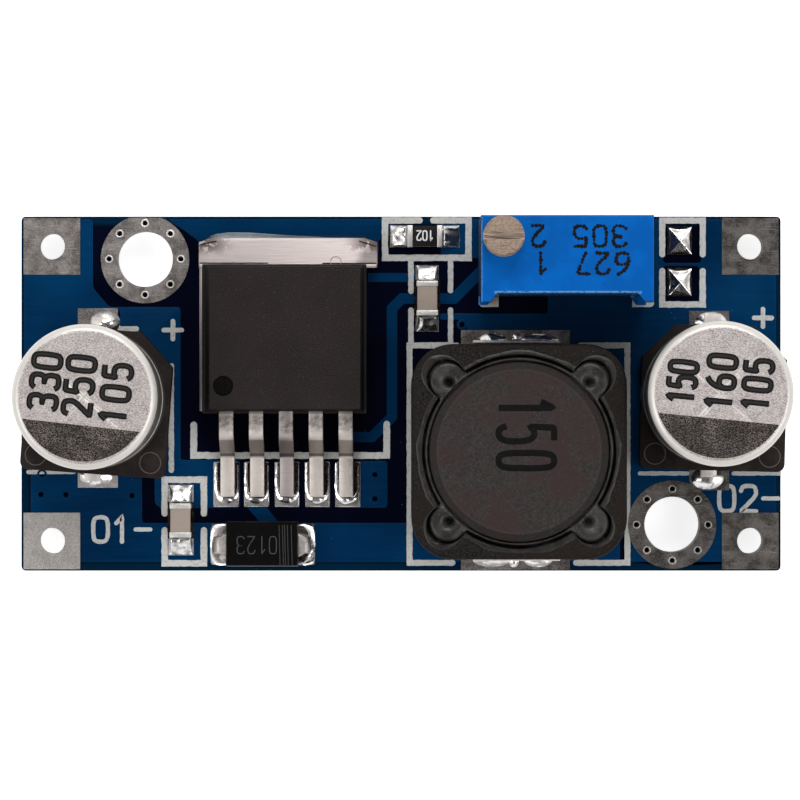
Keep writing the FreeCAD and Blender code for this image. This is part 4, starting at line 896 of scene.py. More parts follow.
def moulding_finish(name, base, light, gloss=0.5, speck=0.3):
    """Black epoxy moulding: a fine matt texture with pale filler specks, and painted shade on its walls."""
    finish = Finish(name)
    fine = finish.grain(0.07, 3, roughness=0.7)
    specks = 1 - finish.cells(0.24).between(0.04, 0.15)
    cloud = finish.grain(2.5, 2).between(0.35, 0.65)
    colour = finish.blend(0.85 * fine.between(0.32, 0.68) + 0.15 * cloud, base, light)
    colour = finish.blend(specks * speck, colour, paint(104, 98, 94))
    # Painted shade: walls are darkened towards near-black.
    side = 1 - abs(finish.facing_up()).between(0.15, 0.7)
    colour = finish.blend(side * 0.75, colour, paint(6, 5, 5))
    return finish.set(Base_Color=colour, Roughness=gloss + 0.16 * fine, Specular_IOR_Level=0.07,
                      Normal=finish.relief(0.6 * fine + 0.4 * specks, 0.012))


def lead_finish():
    """Matt tin plating with rubbed patches and a faint length-wise grain."""
    finish = Finish("tinned lead")
    rubbed = finish.grain(0.5, 3, roughness=0.6).between(0.42, 0.62)
    drawn = finish.grain(detail=2, where=finish.stretch(0.06, 1.1, 1.1))
    fine = finish.grain(0.06, 2)
    colour = finish.blend(0.5 * rubbed + 0.4 * drawn, paint(222, 215, 210), paint(186, 178, 173))
    return finish.set(Base_Color=colour, Metallic=1.0, Roughness=0.5 + 0.12 * rubbed,
                      Normal=finish.relief(0.4 * drawn + 0.6 * fine, 0.006))


def shade_bends(finish, colour, knee, heel):
    """Darkens a lead with painted shade down its slope, from the knee, and most in the crease of its heel."""
    along = finish.axis("Y")
    slope = along.between(-3.45, -3.35) - along.between(*knee)
    crease = along.between(*heel) - along.between(-3.45, -3.36)
    colour = finish.blend(slope * 0.6, colour, paint(140, 130, 124))
    return finish.blend(crease * 0.8, colour, paint(70, 62, 58))


def gull_wing_finish():
    """The regulator's leads: mottled near the body, darker down the slope as painted shade, bright at the
    foot.
    """
    finish = Finish("gull-wing lead")
    along = finish.axis("Y")
    rubbed = finish.grain(0.28, 4, roughness=0.65).between(0.42, 0.6)
    drawn = finish.grain(detail=2, where=finish.stretch(0.05, 1.1, 1.1))
    cross = finish.grain(detail=2, where=finish.stretch(0.5, 0.04, 0.5)).between(0.6, 0.7)
    near_body = along.between(-2.4, -1.7) * (1 - along.between(-1.35, -1.15))
    root = along.between(-1.2, -1.1)
    colour = finish.blend(0.6 * drawn, paint(222, 213, 206), paint(200, 191, 184))
    colour = finish.blend(near_body * (0.2 + 0.5 * rubbed), colour, paint(120, 113, 109))
    colour = shade_bends(finish, colour, (-2.67, -2.6), (-3.62, -3.54))
    colour = finish.blend(cross * 0.25, colour, paint(120, 112, 106))
    return finish.set(Base_Color=finish.blend(root * 0.6, colour, paint(90, 84, 80)), Metallic=1.0,
                      Roughness=0.48 + 0.12 * rubbed, Normal=finish.relief(0.5 * drawn + 0.5 * rubbed, 0.006))


def tab_finish():
    """Tinned copper stamping, brushed across, worn darker near its two outer corners; its middle lead
    darkens down its slope with painted shade like the others."""
    finish = Finish("heat tab")
    brushed = finish.grain(detail=3, where=finish.stretch(1.6, 0.07, 0.3))
    rubbed = finish.grain(0.7, 4, roughness=0.65)
    corner = abs(finish.axis("X") + 6.45).between(2.9, 4.6) * finish.axis("Y").between(7.75, 8.5)
    worn = corner * rubbed.between(0.44, 0.5)
    colour = finish.blend(brushed, paint(166, 156, 153), paint(198, 188, 185))
    colour = finish.blend(worn * 0.9, colour, paint(84, 73, 68))
    along = finish.axis("Y")
    near_body = along.between(-2.35, -2.1) * (1 - along.between(-1.35, -1.2))
    colour = finish.blend(near_body * rubbed.between(0.42, 0.6) * 0.85, colour, paint(112, 106, 103))
    colour = shade_bends(finish, colour, (-2.75, -2.65), (-3.66, -3.58))
    return finish.set(Base_Color=colour, Metallic=1.0, Roughness=0.44 + 0.14 * brushed,
                      Normal=finish.relief(0.6 * brushed + 0.4 * rubbed, 0.012))


def softened(node, radius, segments=2):
    """A merged copy of a CAD node, in millimetres, with its sharp edges rounded."""
    shape = bmesh.new()
    shape.from_mesh(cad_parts[node].data)
    bmesh.ops.scale(shape, vec=(1 / MM,) * 3, verts=shape.verts)
    bmesh.ops.remove_doubles(shape, verts=shape.verts, dist=0.0005)
    bmesh.ops.dissolve_limit(shape, angle_limit=math.radians(1), verts=shape.verts, edges=shape.edges)
    edges = [edge for edge in shape.edges if len(edge.link_faces) == 2
             and edge.calc_face_angle(0) > SHARP_EDGE]
    bmesh.ops.bevel(shape, geom=edges, offset=radius, segments=segments, profile=0.5, affect="EDGES",
                    clamp_overlap=True)
    return shape


def keep_softened(name, node, radius, finish, segments=2):
    """Keeps a CAD node's shape with its edges rounded, in place of the node."""
    keep(name, softened(node, radius, segments), finish, stands_for=[node])


def close_rings(shape, rings):
    """Faces from each ring of corners to the next, and over the first and the last ring."""
    for one, other in zip(rings, rings[1:]):
        for index in range(len(one)):
            after = (index + 1) % len(one)
            shape.faces.new((one[index], one[after], other[after], other[index]))
    shape.faces.new(rings[0][::-1])
    shape.faces.new(rings[-1])
    bmesh.ops.recalc_face_normals(shape, faces=shape.faces)
    return shape


def stack(levels):
    """A closed body through outlines with equal numbers of points, from the lowest level up."""
    shape = bmesh.new()
    rings = [[shape.verts.new((*point, level)) for point in outline] for level, outline in levels]
    return close_rings(shape, rings)


def box_outline(left, right, near, far, radius=0.08):
    corners = [(left, near), (right, near), (right, far), (left, far)]
    return [tuple(point) for point in rounded(corners, radius, 3)]


TAB_TOP = BOARD_TOP + 1.34
MOULDING_TOP = BOARD_TOP + 4.5
PLATE = 0.12
DIMPLE = (-10.06, 0.43, 0.57)


def moulded_body():
    """The moulding: its lower half is a little wider, and a round recess marks its first lead."""
    top = box_outline(-10.84, -2.30, -0.87, 7.19, 0.06)
    body = stack([(BOARD_TOP + 0.12, box_outline(-11.22, -2.06, -1.02, 7.26)),
                  (BOARD_TOP + 2.72, box_outline(-11.32, -1.96, -1.13, 7.36)),
                  (BOARD_TOP + 2.76, box_outline(-11.31, -1.97, -1.12, 7.35)),
                  (BOARD_TOP + 2.77, box_outline(-11.12, -2.10, -1.02, 7.28)),
                  (MOULDING_TOP - PLATE, box_outline(-10.86, -2.28, -0.88, 7.20, 0.06)),
                  (MOULDING_TOP - PLATE + 0.02, top)])
    plate = flat_sheet([top, ring_outline(*DIMPLE, 40)], MOULDING_TOP - PLATE, PLATE, 0.02)
    return gather([body, plate])


def lead_pads():
    """Five pads for the leads, and one under the tab that follows the pool of solder."""
    outlines = [box_outline(x - 0.7, x + 0.7, -6.515, -3.915, 0.06)
                for x in [REGULATOR_X + (index - 2) * PAD_PITCH for index in range(5)]]
    outlines.append([(-11.3, -0.8), (-2.0, -0.8), (-2.0, 7.4), (-1.35, 7.4), (-1.35, 8.6), (-11.6, 8.6),
                     (-11.6, 7.4), (-11.3, 7.4)])
    return gather([flat_sheet([outline], BOARD_TOP, PAD_RISE, 0.015) for outline in outlines])


def pen_tree():
    """Raised strokes with a flattened round section and round ends along every path."""
    nodes, given = pattern_tree("raised strokes", "Width", "Rise")
    half = given["Width"] / 2
    path = nodes.shape("MeshToCurve", Mesh=given["Geometry"])
    stroke = nodes.shape("CurveToMesh", Curve=path, Profile_Curve=nodes.circle(14, half), Fill_Caps=True)
    ends = nodes.shape("CurveEndpointSelection", Start_Size=1, End_Size=1)
    tips = nodes.shape("CurveToPoints", "EVALUATED", Curve=path)
    ball = nodes.shape("MeshUVSphere", Segments=14, Rings=8, Radius=half)
    caps = nodes.shape("InstanceOnPoints", Points=tips, Selection=ends, Instance=ball)
    flatten = nodes.vector(1.0, 1.0, given["Rise"] / given["Width"] * 2)
    flat = nodes.shape("Transform", Geometry=nodes.join(stroke, caps), Scale=flatten)
    return finish_tree(nodes, flat, given)


PEN = pen_tree()


def pen(paths, width, rise, level, finish):
    """Raised strokes along flat paths, lying on a surface at a level."""
    measures = {"Width": width, "Rise": rise, "Material": finish.material}
    shape = run_pattern(PEN, path_mesh(paths), measures)
    bmesh.ops.translate(shape, verts=shape.verts, vec=(0, 0, level))
    return shape


FOOT_RIM = [(-0.58, -4.0, 0.14), (-0.6, -4.9, 0.19), (-0.58, -5.45, 0.21), (-0.49, -5.83, 0.27),
            (-0.27, -6.09, 0.33), (0.04, -6.16, 0.33), (0.34, -6.07, 0.26), (0.56, -5.85, 0.15),
            (0.64, -5.55, 0.07), (0.65, -4.9, 0.05), (0.65, -4.1, 0.05)]


def rim_of_solder(points, level, seed):
    """A ridge along points of x, y and width, steep on its inside and sloping outwards."""
    shape = bmesh.new()
    path = [Vector(point) for point in points]
    for _ in range(3):
        path = cut_corners(path, False)
    rings = []
    for index, here in enumerate(path):
        ahead = (path[min(index + 1, len(path) - 1)] - path[max(index - 1, 0)]).xy.normalized()
        out = Vector((ahead.y, -ahead.x))
        width = here.z * (1 + 0.25 * lump(here.x, here.y, 0.3, seed))
        middle = here.xy + out * 0.02 * lump(here.x, here.y, 0.5, seed + 5)
        section = ((-0.5, -0.02), (-0.46, 0.46 * width), (-0.38, 0.49 * width), (0.5, 0.02), (0.5, -0.02))
        rings.append([shape.verts.new((*(middle + out * share * width), level + rise))
                      for share, rise in section])
    return close_rings(shape, rings)


def foot_joints():
    """A bright rim of solder round every foot, widest at the toe and thin on its right side."""
    rims = []
    for index, x in enumerate(FOOT_PLACES):
        sway = 0.05 * noise.noise(Vector((index * 2.7, 0.4, 1)))
        rims.append(rim_of_solder([(x + point[0] + sway, point[1] + sway, point[2]) for point in FOOT_RIM],
                                  PAD_TOP, index * 1.9))
        edge = [(x - 0.67, -3.95), (x - 0.67, -6.48), (x + 0.67, -6.48), (x + 0.67, -5.7)]
        rims.append(pen([edge], 0.06, 0.02, PAD_TOP, solder))
    return gather(rims)


def painted_shade_sheets():
    """Dark sheets of painted shade and dark reflection round every foot, under the two spare mounds and
    beside the chip parts.
    """
    outlines = [rounded([(x - 0.55, -3.93), (x - 0.55, -5.7), (x - 0.25, -6.08), (x + 0.3, -6.08),
                         (x + 0.7, -5.8), (x + 0.71, -3.93)], 0.2) for x in FOOT_PLACES]
    outlines += [box_outline(x - 0.7, x + 0.7, y - 0.81, y + 0.81, 0.05) for x, y in SPARE_PADS]
    lines = [flat_sheet([outline], PAD_TOP - 0.01, 0.02, 0.004) for outline in outlines]
    for (x, y), half in ((UPPER_CHIP, 0.68), (LOWER_CHIP, 0.7)):
        round_chip = [(x - half, y - 1), (x + half, y - 1), (x + half, y + 1), (x - half, y + 1)]
        lines.append(ribbon(round_chip, 0.13, BOARD_TOP + 0.02, 0.056, closed=True, ragged=0.05))
    return gather(lines)


def painted_shade_finish():
    """Painted shade and dark reflection: brown-black and glassy."""
    finish = Finish("baked flux")
    cloud = finish.grain(0.2, 3).between(0.4, 0.65)
    return finish.set(Base_Color=finish.blend(cloud, paint(16, 13, 11), paint(46, 38, 32)),
                      Roughness=0.25, Specular_IOR_Level=0.08, Normal=finish.relief(cloud, 0.01))


TAB_SHORE = [(-11.61, 8.62), (-11.15, 8.94), (-10.69, 9.14), (-9.94, 9.25), (-8.68, 9.24), (-6.38, 9.08),
             (-4.08, 8.97), (-2.07, 8.82), (-1.62, 8.7)]


def shore_at(x):
    for one, other in zip(TAB_SHORE, TAB_SHORE[1:]):
        if x <= other[0]:
            return one[1] + (other[1] - one[1]) * (x - one[0]) / (other[0] - one[0])
    return TAB_SHORE[-1][1]


def tab_joint():
    """The dull pool of solder that wets the outer edge of the tab, widest near its left end; its blue-grey
    colour is a painted reflection.
    """
    def height(x, y):
        share = max(0.0, min(1.0, (shore_at(x) - y) / max(0.1, shore_at(x) - 8.62)))
        return -0.02 + 0.42 * share ** 0.8 + 0.012 * lump(x, y, 0.5, 3.3) * share

    return pool(-11.6, -1.64, 8.45, 9.2, height, place_at(0, 0), step=0.06, shore=shore_at)


def tab_edge_print():
    """The dark parting line where the moulding meets the tab, broken in the middle, and painted shade lines
    on the ledge.
    """
    lines = [ribbon(path, 0.07, TAB_TOP - 0.006, 0.016, ragged=0.01, round_ends=False)
             for path in ([(-11.52, 7.46), (-7.6, 7.46)], [(-4.5, 7.45), (-1.42, 7.45)],
                          [(-10.55, 8.72), (-11.5, 8.5)], [(-2.4, 8.72), (-1.45, 8.42)])]
    # Painted shade: dark lines on the ledge at the foot of the moulding's upper walls.
    lines += [ribbon([(x, -0.98), (x, 7.2)], 0.08, BOARD_TOP + 2.765, 0.012, round_ends=False)
              for x in (-11.13, -2.1)]
    return gather(lines)


def coined_strip():
    """A bevelled strip on the tab along the moulding, and the slug's edge along its left side."""
    strip = stack([(TAB_TOP - 0.05, box_outline(-11.56, -1.36, 7.2, 7.42, 0.02)),
                   (TAB_TOP + 0.04, box_outline(-11.54, -1.38, 7.2, 7.40, 0.02)),
                   (TAB_TOP + 0.1, box_outline(-11.5, -1.42, 7.2, 7.3, 0.02))])
    slug = stack([(BOARD_TOP + 0.1, box_outline(-11.54, -11.3, -1.0, 7.35, 0.03)),
                  (BOARD_TOP + 1.15, box_outline(-11.53, -11.3, -1.0, 7.35, 0.03)),
                  (BOARD_TOP + 1.22, box_outline(-11.46, -11.3, -0.96, 7.31, 0.03))])
    circle = ring_outline(-3.73, 7.55, 0.3, 24)
    ring = pen([[*circle, circle[0]]], 0.06, 0.012, TAB_TOP, tab_metal)
    return gather([strip, slug, ring])


def dark_print(name, level):
    """Near-black, dull and slightly uneven, for recesses, parting lines and lines of painted shade."""
    finish = Finish(name)
    cloud = finish.grain(0.3, 3)
    colour = finish.blend(cloud, paint(*[level - 5] * 3), paint(*[level + 8] * 3))
    return finish.set(Base_Color=colour, Roughness=0.6, Specular_IOR_Level=0.03)


moulding = moulding_finish("regulator moulding", paint(26, 22, 21), paint(46, 41, 40))
keep("regulator_moulding", moulded_body(), moulding, stands_for=["regulator_body"])
recess = flat_sheet([ring_outline(*DIMPLE[:2], 0.56, 40)], MOULDING_TOP - PLATE + 0.01, 0.03, 0.005)
keep("lead_one_mark", recess, dark_print("recess", 9))
lead_tin = lead_finish()
tab_metal = tab_finish()
keep("heat_tab", gather([softened("regulator_heat_tab", 0.06), coined_strip()]), tab_metal,
     stands_for=["regulator_heat_tab"])
keep("tab_lines", tab_edge_print(), dark_print("parting line", 38))
gull_wing = gull_wing_finish()
for kind in ("input", "output", "feedback", "enable"):
    keep_softened(f"{kind}_lead", f"regulator_{kind}_lead", 0.05, gull_wing)
thin_tin = pad_tin_finish("thin tin", paint(62, 62, 64), paint(134, 130, 128), 0.3, 0.3)
keep("tinned_lead_pads", lead_pads(), thin_tin, stands_for=["regulator_pads"])
keep("lead_joints", foot_joints(), solder, stands_for=["regulator_solder"], smooth=60)
keep("painted_shade_sheets", painted_shade_sheets(), painted_shade_finish())
# Painted reflection: the tab's solder is coloured blue-grey, as if reflecting the board.
solder_with_painted_reflection = pad_tin_finish("dull solder", paint(88, 98, 106), paint(124, 134, 140), 0.3)
keep("tab_joint", tab_joint(), solder_with_painted_reflection, smooth=60)


def silicon_finish():
    """A diced chip: dark, polished, with a grid of fine scribe lines."""
    finish = Finish("diced silicon")
    lines = finish.node("ShaderNodeTexBrick", {},
                        {"Vector": finish.stretch(0.3, 0.3, 0.3), "Mortar Size": 0.03, "Scale": 1.0}, "Fac")
    colour = finish.blend(lines, paint(66, 70, 84), paint(150, 140, 120))
    return finish.set(Base_Color=colour, Metallic=0.5, Roughness=0.2 + 0.3 * lines)


dress(silicon_finish(), "regulator_die", "diode_die")


# Flyback diode
# A flat black moulding with a lead folded under each end. Five fine pale lines mark its cathode.

DIODE_TOP = 4.8


def diode_marks():
    """Five fine cathode lines and a row of faint plain figures."""
    x, y = DIODE
    lines = [ribbon([(x + step, y - 1.12), (x + step - 0.06, y + 1.16)], 0.035, DIODE_TOP - 0.01, 0.014,
                    round_ends=False) for step in (1.05, 1.24, 1.36, 1.52, 1.74)]
    paths = figure_paths("0123", 0.98, (x - 0.28, y + 0.02), 180, step=0.92, width_share=0.68)
    return gather(lines + figure_strokes(paths, 0.06, DIODE_TOP - 0.01, 0.014))


def diode_body():
    """The moulding, a little narrower at its top than at its parting line."""
    return stack([(BOARD_TOP + 0.34, box_outline(-9.96, -5.91, -9.84, -7.32, 0.06)),
                  (BOARD_TOP + 1.3, box_outline(-10.02, -5.85, -9.88, -7.28, 0.06)),
                  (DIODE_TOP - 0.05, box_outline(-9.95, -5.92, -9.80, -7.33, 0.06)),
                  (DIODE_TOP, box_outline(-9.9, -5.97, -9.75, -7.38, 0.06))])


def bulged_lead(end):
    """A diode's lead, rounded where it folds under, as it stands out from the end of the body."""
    shape = softened(f"diode_{end}_lead", 0.13, 3)
    for vertex in shape.verts:
        if abs(vertex.co.x - DIODE[0]) > 2.05:
            vertex.co.x += math.copysign(0.38, vertex.co.x - DIODE[0])
            vertex.co.y = DIODE[1] + (vertex.co.y - DIODE[1]) * 0.66
    return shape


diode_black = moulding_finish("diode moulding", paint(1, 1, 1), paint(5, 5, 5), 0.4, 0.05)
keep("diode_moulding", diode_body(), diode_black, stands_for=["diode_body"])
keep("diode_marks", diode_marks(), ink_finish("scribed marks", paint(26, 25, 24), paint(48, 45, 44)))
bent_tin = pad_tin_finish("bent tin", paint(104, 99, 96), paint(180, 174, 170), 0.3, 0.2)
for end in ("cathode", "anode"):
    keep(f"diode_{end}", bulged_lead(end), bent_tin, stands_for=[f"diode_{end}_lead"])


# Chip resistor and chip capacitors
# The resistor is white ceramic under a black glass film with white figures. The capacitors are tan
# ceramic. Each has a cup of plated metal over both ends.

RESISTOR_TOP = 3.055


def ceramic_finish(name, one, other):
    """Fired ceramic: even, faintly mottled and a little glossy."""
    finish = Finish(name)
    mottle = finish.grain(0.25, 4, roughness=0.6)
    band = finish.grain(detail=2, where=finish.stretch(2, 0.06, 0.06))
    return finish.set(Base_Color=finish.blend(0.5 * mottle + 0.5 * band, one, other),
                      Roughness=0.35 + 0.2 * mottle, Specular_IOR_Level=0.15,
                      Normal=finish.relief(mottle, 0.006))


def cap_finish():
    """Plated end cups: soft bright tin with rubbed dull spots."""
    finish = Finish("end cups")
    rubbed = finish.grain(0.2, 4, roughness=0.7).between(0.5, 0.66)
    return finish.set(Base_Color=finish.blend(rubbed * 0.7, paint(228, 226, 222), paint(176, 172, 166)),
                      Metallic=1.0, Roughness=0.42 + 0.1 * rubbed, Normal=finish.relief(rubbed, 0.004))


end_cups = cap_finish()
white_ceramic = ceramic_finish("white ceramic", paint(206, 204, 198), paint(226, 224, 220))
tan_ceramic = ceramic_finish("tan ceramic", paint(144, 130, 120), paint(161, 148, 138))
dress(white_ceramic, "resistor_ceramic", "trimmer_resistor_plate")
for chip in ("upper", "lower"):
    part = f"{chip}_chip_capacitor"
    keep_softened(f"{chip}_chip_ceramic", f"{part}_body", 0.03, tan_ceramic)
    keep_softened(f"{chip}_chip_cups", f"{part}_end_caps", 0.05, end_cups, 3)
keep_softened("resistor_cups", "resistor_end_caps", 0.05, end_cups, 3)
glass_film = moulding_finish("glass film", paint(28, 26, 26), paint(36, 34, 34), 0.3)
keep_softened("resistor_glass", "resistor_film", 0.012, glass_film)
resistor_paths = figure_paths("102", 0.54, (1.367, 9.06), 180, 0.72)
white_ink = ink_finish("white figures", paint(196, 196, 194), paint(226, 226, 224))
keep("resistor_figures", gather(figure_strokes(resistor_paths, 0.08, RESISTOR_TOP, 0.012, step=0.1)),
     white_ink)


# Electrolytic capacitors
# A drawn aluminium can, crimped over its rubber bung and held by a square plastic base with cut
# corners on its positive side. The top has a printed black segment on the negative side, raised
# printed figures and a faint scored cross.

CAPACITORS = {"input": (-17.5, -0.3, -4.2), "output": (17.75, -0.1, -1.5)}
CAN_TOPS = {"input": (-17.54, -0.18, -6.4), "output": (17.72, 0.0, -5.7)}
BASE_MIDDLES = {"input": (-17.37, -0.45), "output": (17.88, -0.24)}
CAPACITOR_PADS = {"input": (-17.41, -0.25), "output": (17.69, -0.40)}
CAPACITOR_FIGURES = {  # text, middle from the can's own, step and share of a figure's usual width
    "input": [("330", -2.16, 0.85, 0.93, 0.82), ("250", -0.27, 0.6, 1.0, 0.82),
              ("105", 1.74, 0.18, 1.02, 0.8)],
    "output": [("150", -2.16, 0.66, 0.88, 0.62), ("160", -0.03, 0.66, 1.0, 0.74),
               ("105", 2.0, 0.5, 0.98, 0.7)]}
CAN_RADIUS, CAN_TOP, CAN_RIM = 4.05, 12.7, 0.5
CAN_LOW, CAN_WALL, CAN_MOUTH = 3.05, 0.25, 3.1
GROOVE_LEVEL = 5.0
CHORDS = {"input": -1.68, "output": -1.5}
SEGMENT_RADIUS = 3.68
BASE_HALF, BASE_CUT, BASE_CORNER = 4.15, 2.25, 0.45
BASE_TOP = BOARD_TOP + 1.35


def lathe(profile, segments):
    """A closed body turned about the Z axis from a closed profile of radius and height."""
    shape = bmesh.new()
    rings = []
    for radius, height in profile:
        if radius < 1e-6:
            rings.append([shape.verts.new((0, 0, height))])
            continue
        rings.append([shape.verts.new((radius * math.cos(turn), radius * math.sin(turn), height))
                      for turn in [2 * math.pi * index / segments for index in range(segments)]])
    ends = list(zip(rings, rings[1:]))
    if len(rings[0]) > 1 and len(rings[-1]) > 1:
        ends.append((rings[-1], rings[0]))
    for one, other in ends:
        if len(one) == len(other) == 1:
            continue
        for index in range(segments):
            after = (index + 1) % segments
            corners = [one[0]] if len(one) == 1 else [one[index], one[after]]
            corners += [other[0]] if len(other) == 1 else [other[after], other[index]]
            shape.faces.new(corners)
    bmesh.ops.recalc_face_normals(shape, faces=shape.faces)
    return shape


def arc(middle, radius, start, end, steps=8):
    """Points of an arc in a profile, angles in degrees from outwards to upwards."""
    turns = [math.radians(start + (end - start) * step / steps) for step in range(steps + 1)]
    return [(middle[0] + radius * math.cos(turn), middle[1] + radius * math.sin(turn)) for turn in turns]


def lean(foot, top):
    """Leans an upright piece so that the middle of its top comes over a given point."""
    along_x, along_y = ((top[axis] - foot[axis]) / (CAN_TOP - CAN_LOW) for axis in (0, 1))
    shear = Matrix.Identity(4)
    shear[0][2], shear[1][2] = along_x, along_y
    return Matrix.Translation((foot[0] - along_x * CAN_LOW, foot[1] - along_y * CAN_LOW, 0)) @ shear


def can_shape(foot, top):
    """The can, with a fine grid on its top that dips along the scored lines."""
    inner = CAN_RADIUS - CAN_WALL
    outside = [(CAN_MOUTH, CAN_LOW)] + arc((CAN_RADIUS - 0.45, CAN_LOW + 0.45), 0.45, -90, 0)
    outside += arc((CAN_RADIUS + 0.12, GROOVE_LEVEL), 0.45, 238, 122, 10)
    outside += arc((CAN_RADIUS - CAN_RIM, CAN_TOP - CAN_RIM), CAN_RIM, 0, 90, 12)
    lid_rings = 48
    lid = [(SEGMENT_RADIUS * (1 - index / lid_rings), CAN_TOP) for index in range(1, lid_rings)]
    lid.append((0, CAN_TOP))
    inside = [(0, CAN_TOP - CAN_WALL), (inner, CAN_TOP - CAN_WALL), (inner, GROOVE_LEVEL + 0.5),
              (inner - 0.4, GROOVE_LEVEL + 0.16), (inner - 0.4, GROOVE_LEVEL - 0.16),
              (inner, GROOVE_LEVEL - 0.5), (inner, CAN_LOW + CAN_WALL), (CAN_MOUTH, CAN_LOW + CAN_WALL)]
    shape = lathe(outside + lid + inside, 192)
    for vertex in shape.verts:
        x, y, z = vertex.co
        if z > CAN_TOP - 0.05:
            spread = math.hypot(x, y)
            score = min(abs(x * 0.66 + y * 0.75), abs(x * 0.75 - y * 0.66))
            if spread < 2.9:
                vertex.co.z -= 0.05 * math.exp(-(score / 0.1) ** 2)
            if spread < SEGMENT_RADIUS:
                vertex.co.z += 0.004 * lump(x, y, 0.35, 1.0)
    shape.transform(lean(foot, top))
    return shape


def can_finish():
    """Aluminium: satin and smooth on its rim, etched and glittering on its top, drawn on its wall, which
    carries painted shade.
    """
    finish = Finish("aluminium can")
    glitter = finish.grain(detail=4, where=finish.stretch(0.1, 0.045, 1, turn=52), roughness=0.8)
    mottle = finish.grain(0.9, 2)
    drawn = finish.grain(detail=2, where=finish.stretch(0.5, 0.5, 6))
    top = finish.facing_up().between(0.9, 0.985)
    etched = finish.blend(glitter.between(0.38, 0.62), paint(132, 124, 121), paint(214, 206, 203))
    etched = finish.blend(mottle.between(0.4, 0.6) * 0.15, etched, paint(226, 220, 216))
    smooth = finish.blend(drawn, paint(206, 202, 196), paint(214, 210, 204))
    # Painted shade: the can's wall is darkened, more on the right-hand can.
    wall = 1 - finish.facing_up().between(0.05, 0.3)
    shade = finish.blend(finish.axis("X").between(-5, 5), paint(84, 76, 71), paint(18, 16, 16))
    smooth = finish.blend(wall * 0.93, smooth, shade)
    return finish.set(Base_Color=finish.blend(top, smooth, etched), Metallic=0.4 + 0.6 * top,
                      Roughness=0.38 + 0.06 * drawn + 0.04 * top, Normal=finish.relief(glitter * top, 0.016))


def black_print_finish():
    """Black ink over the etched aluminium, with specks of metal coming through that are lightened as painted
    glints.
    """
    finish = Finish("black print")
    glitter = finish.grain(detail=4, where=finish.stretch(0.09, 0.05, 1, turn=52), roughness=0.8)
    patch = finish.grain(1.3, 2).between(0.35, 0.65)
    # Painted glints: specks where the metal shows through are given a light colour.
    glint = glitter.between(0.46, 0.6) * (0.5 + 0.5 * patch)
    colour = finish.blend(glint, paint(18, 15, 14), paint(128, 119, 113))
    return finish.set(Base_Color=colour, Roughness=0.5, Specular_IOR_Level=0.1,
                      Normal=finish.relief(glitter, 0.02))


def figure_print_finish():
    """The same ink in the figures: black on each stroke's sloping sides, dark grey on its flat top."""
    finish = Finish("figure print")
    worn = finish.grain(0.14, 3)
    middle = finish.facing_up().between(0.98, 1.0)
    colour = finish.blend(middle, paint(8, 8, 8), paint(42, 39, 39))
    return finish.set(Base_Color=finish.blend(worn * 0.4, colour, paint(46, 43, 43)), Roughness=0.55,
                      Specular_IOR_Level=0.06, Normal=finish.relief(worn, 0.006))


def segment_outline(place, chord):
    """The printed segment: a chord, and the arc below it, with a slightly uneven edge."""
    reach = math.asin(-chord / SEGMENT_RADIUS)
    turns = [math.pi + reach + (math.pi - 2 * reach) * index / 60 for index in range(61)]
    points = [Vector(((SEGMENT_RADIUS + 0.03 * lump(turn * 4, 0, 0.3, 4)) * math.cos(turn),
                      SEGMENT_RADIUS * math.sin(turn), 0)) for turn in turns]
    return [tuple((place @ point).xy) for point in points]


def capacitor_figures(kind):
    """Three columns of figures that read from the foot of the photograph to its head."""
    x, y, turn = CAN_TOPS[kind]
    paths = []
    for text, column, middle, step, share in CAPACITOR_FIGURES[kind]:
        paths += figure_paths(text, 1.5, (x + column, y + middle), 90 + turn, step=step, width_share=share)
    return paths


def base_shape(kind):
    """The square base: two cut corners and two rounded ones."""
    place = place_at(*BASE_MIDDLES[kind], CAPACITORS[kind][2])

    def outline(grow):
        edge, cut = BASE_HALF + grow, BASE_CUT + grow / 2
        points = [(-edge, cut), (-cut, edge), (cut, edge), (edge, cut)]
        points += arc((edge - BASE_CORNER, BASE_CORNER - edge), BASE_CORNER, 0, -90, 6)
        points += arc((BASE_CORNER - edge, BASE_CORNER - edge), BASE_CORNER, -90, -180, 6)
        return [tuple((place @ Vector((*point, 0))).xy) for point in points]

    return stack([(BOARD_TOP + 0.1, outline(-0.04)), (BOARD_TOP + 0.14, outline(0)),
                  (BOARD_TOP + 1.27, outline(0)), (BOARD_TOP + 1.33, outline(-0.02)),
                  (BASE_TOP, outline(-0.07))])


def base_marks(kind):
    """The rings that the mould's two ejector pins leave near the rounded corners."""
    place = place_at(*BASE_MIDDLES[kind], CAPACITORS[kind][2])
    rings = [[(place @ Vector((x, y, 0))).xy for x, y in ring_outline(end * 3.28, -3.28, 0.6, 40)]
             for end in (-1, 1)]
    return gather([ribbon(ring, 0.06, BASE_TOP - 0.005, 0.012, closed=True, step=1) for ring in rings])


def dome(half_x, half_y, crest, spot, seed):
    """An oval dome of solder with even flanks."""
    def height(x, y):
        inside = max(0.0, 1 - math.hypot(x / half_x, y / half_y))
        return -0.02 + (crest + 0.05 * lump(x, y, 0.4, seed)) * math.sin(inside * math.pi / 2) ** 0.85

    return pool(-half_x, half_x, -half_y, half_y, height, spot, step=0.045)


def base_finish():
    """Heat-proof black plastic with a dull moulded skin and brownish scuffs."""
    finish = Finish("capacitor base")
    skin = finish.grain(0.12, 3, roughness=0.65)
    scuff = finish.grain(1.4, 4, roughness=0.65).between(0.48, 0.68)
    colour = finish.blend(skin, paint(27, 23, 21), paint(40, 35, 33))
    return finish.set(Base_Color=finish.blend(scuff * 0.5, colour, paint(56, 48, 45)),
                      Roughness=0.48 + 0.2 * skin, Specular_IOR_Level=0.07, Normal=finish.relief(skin, 0.01))


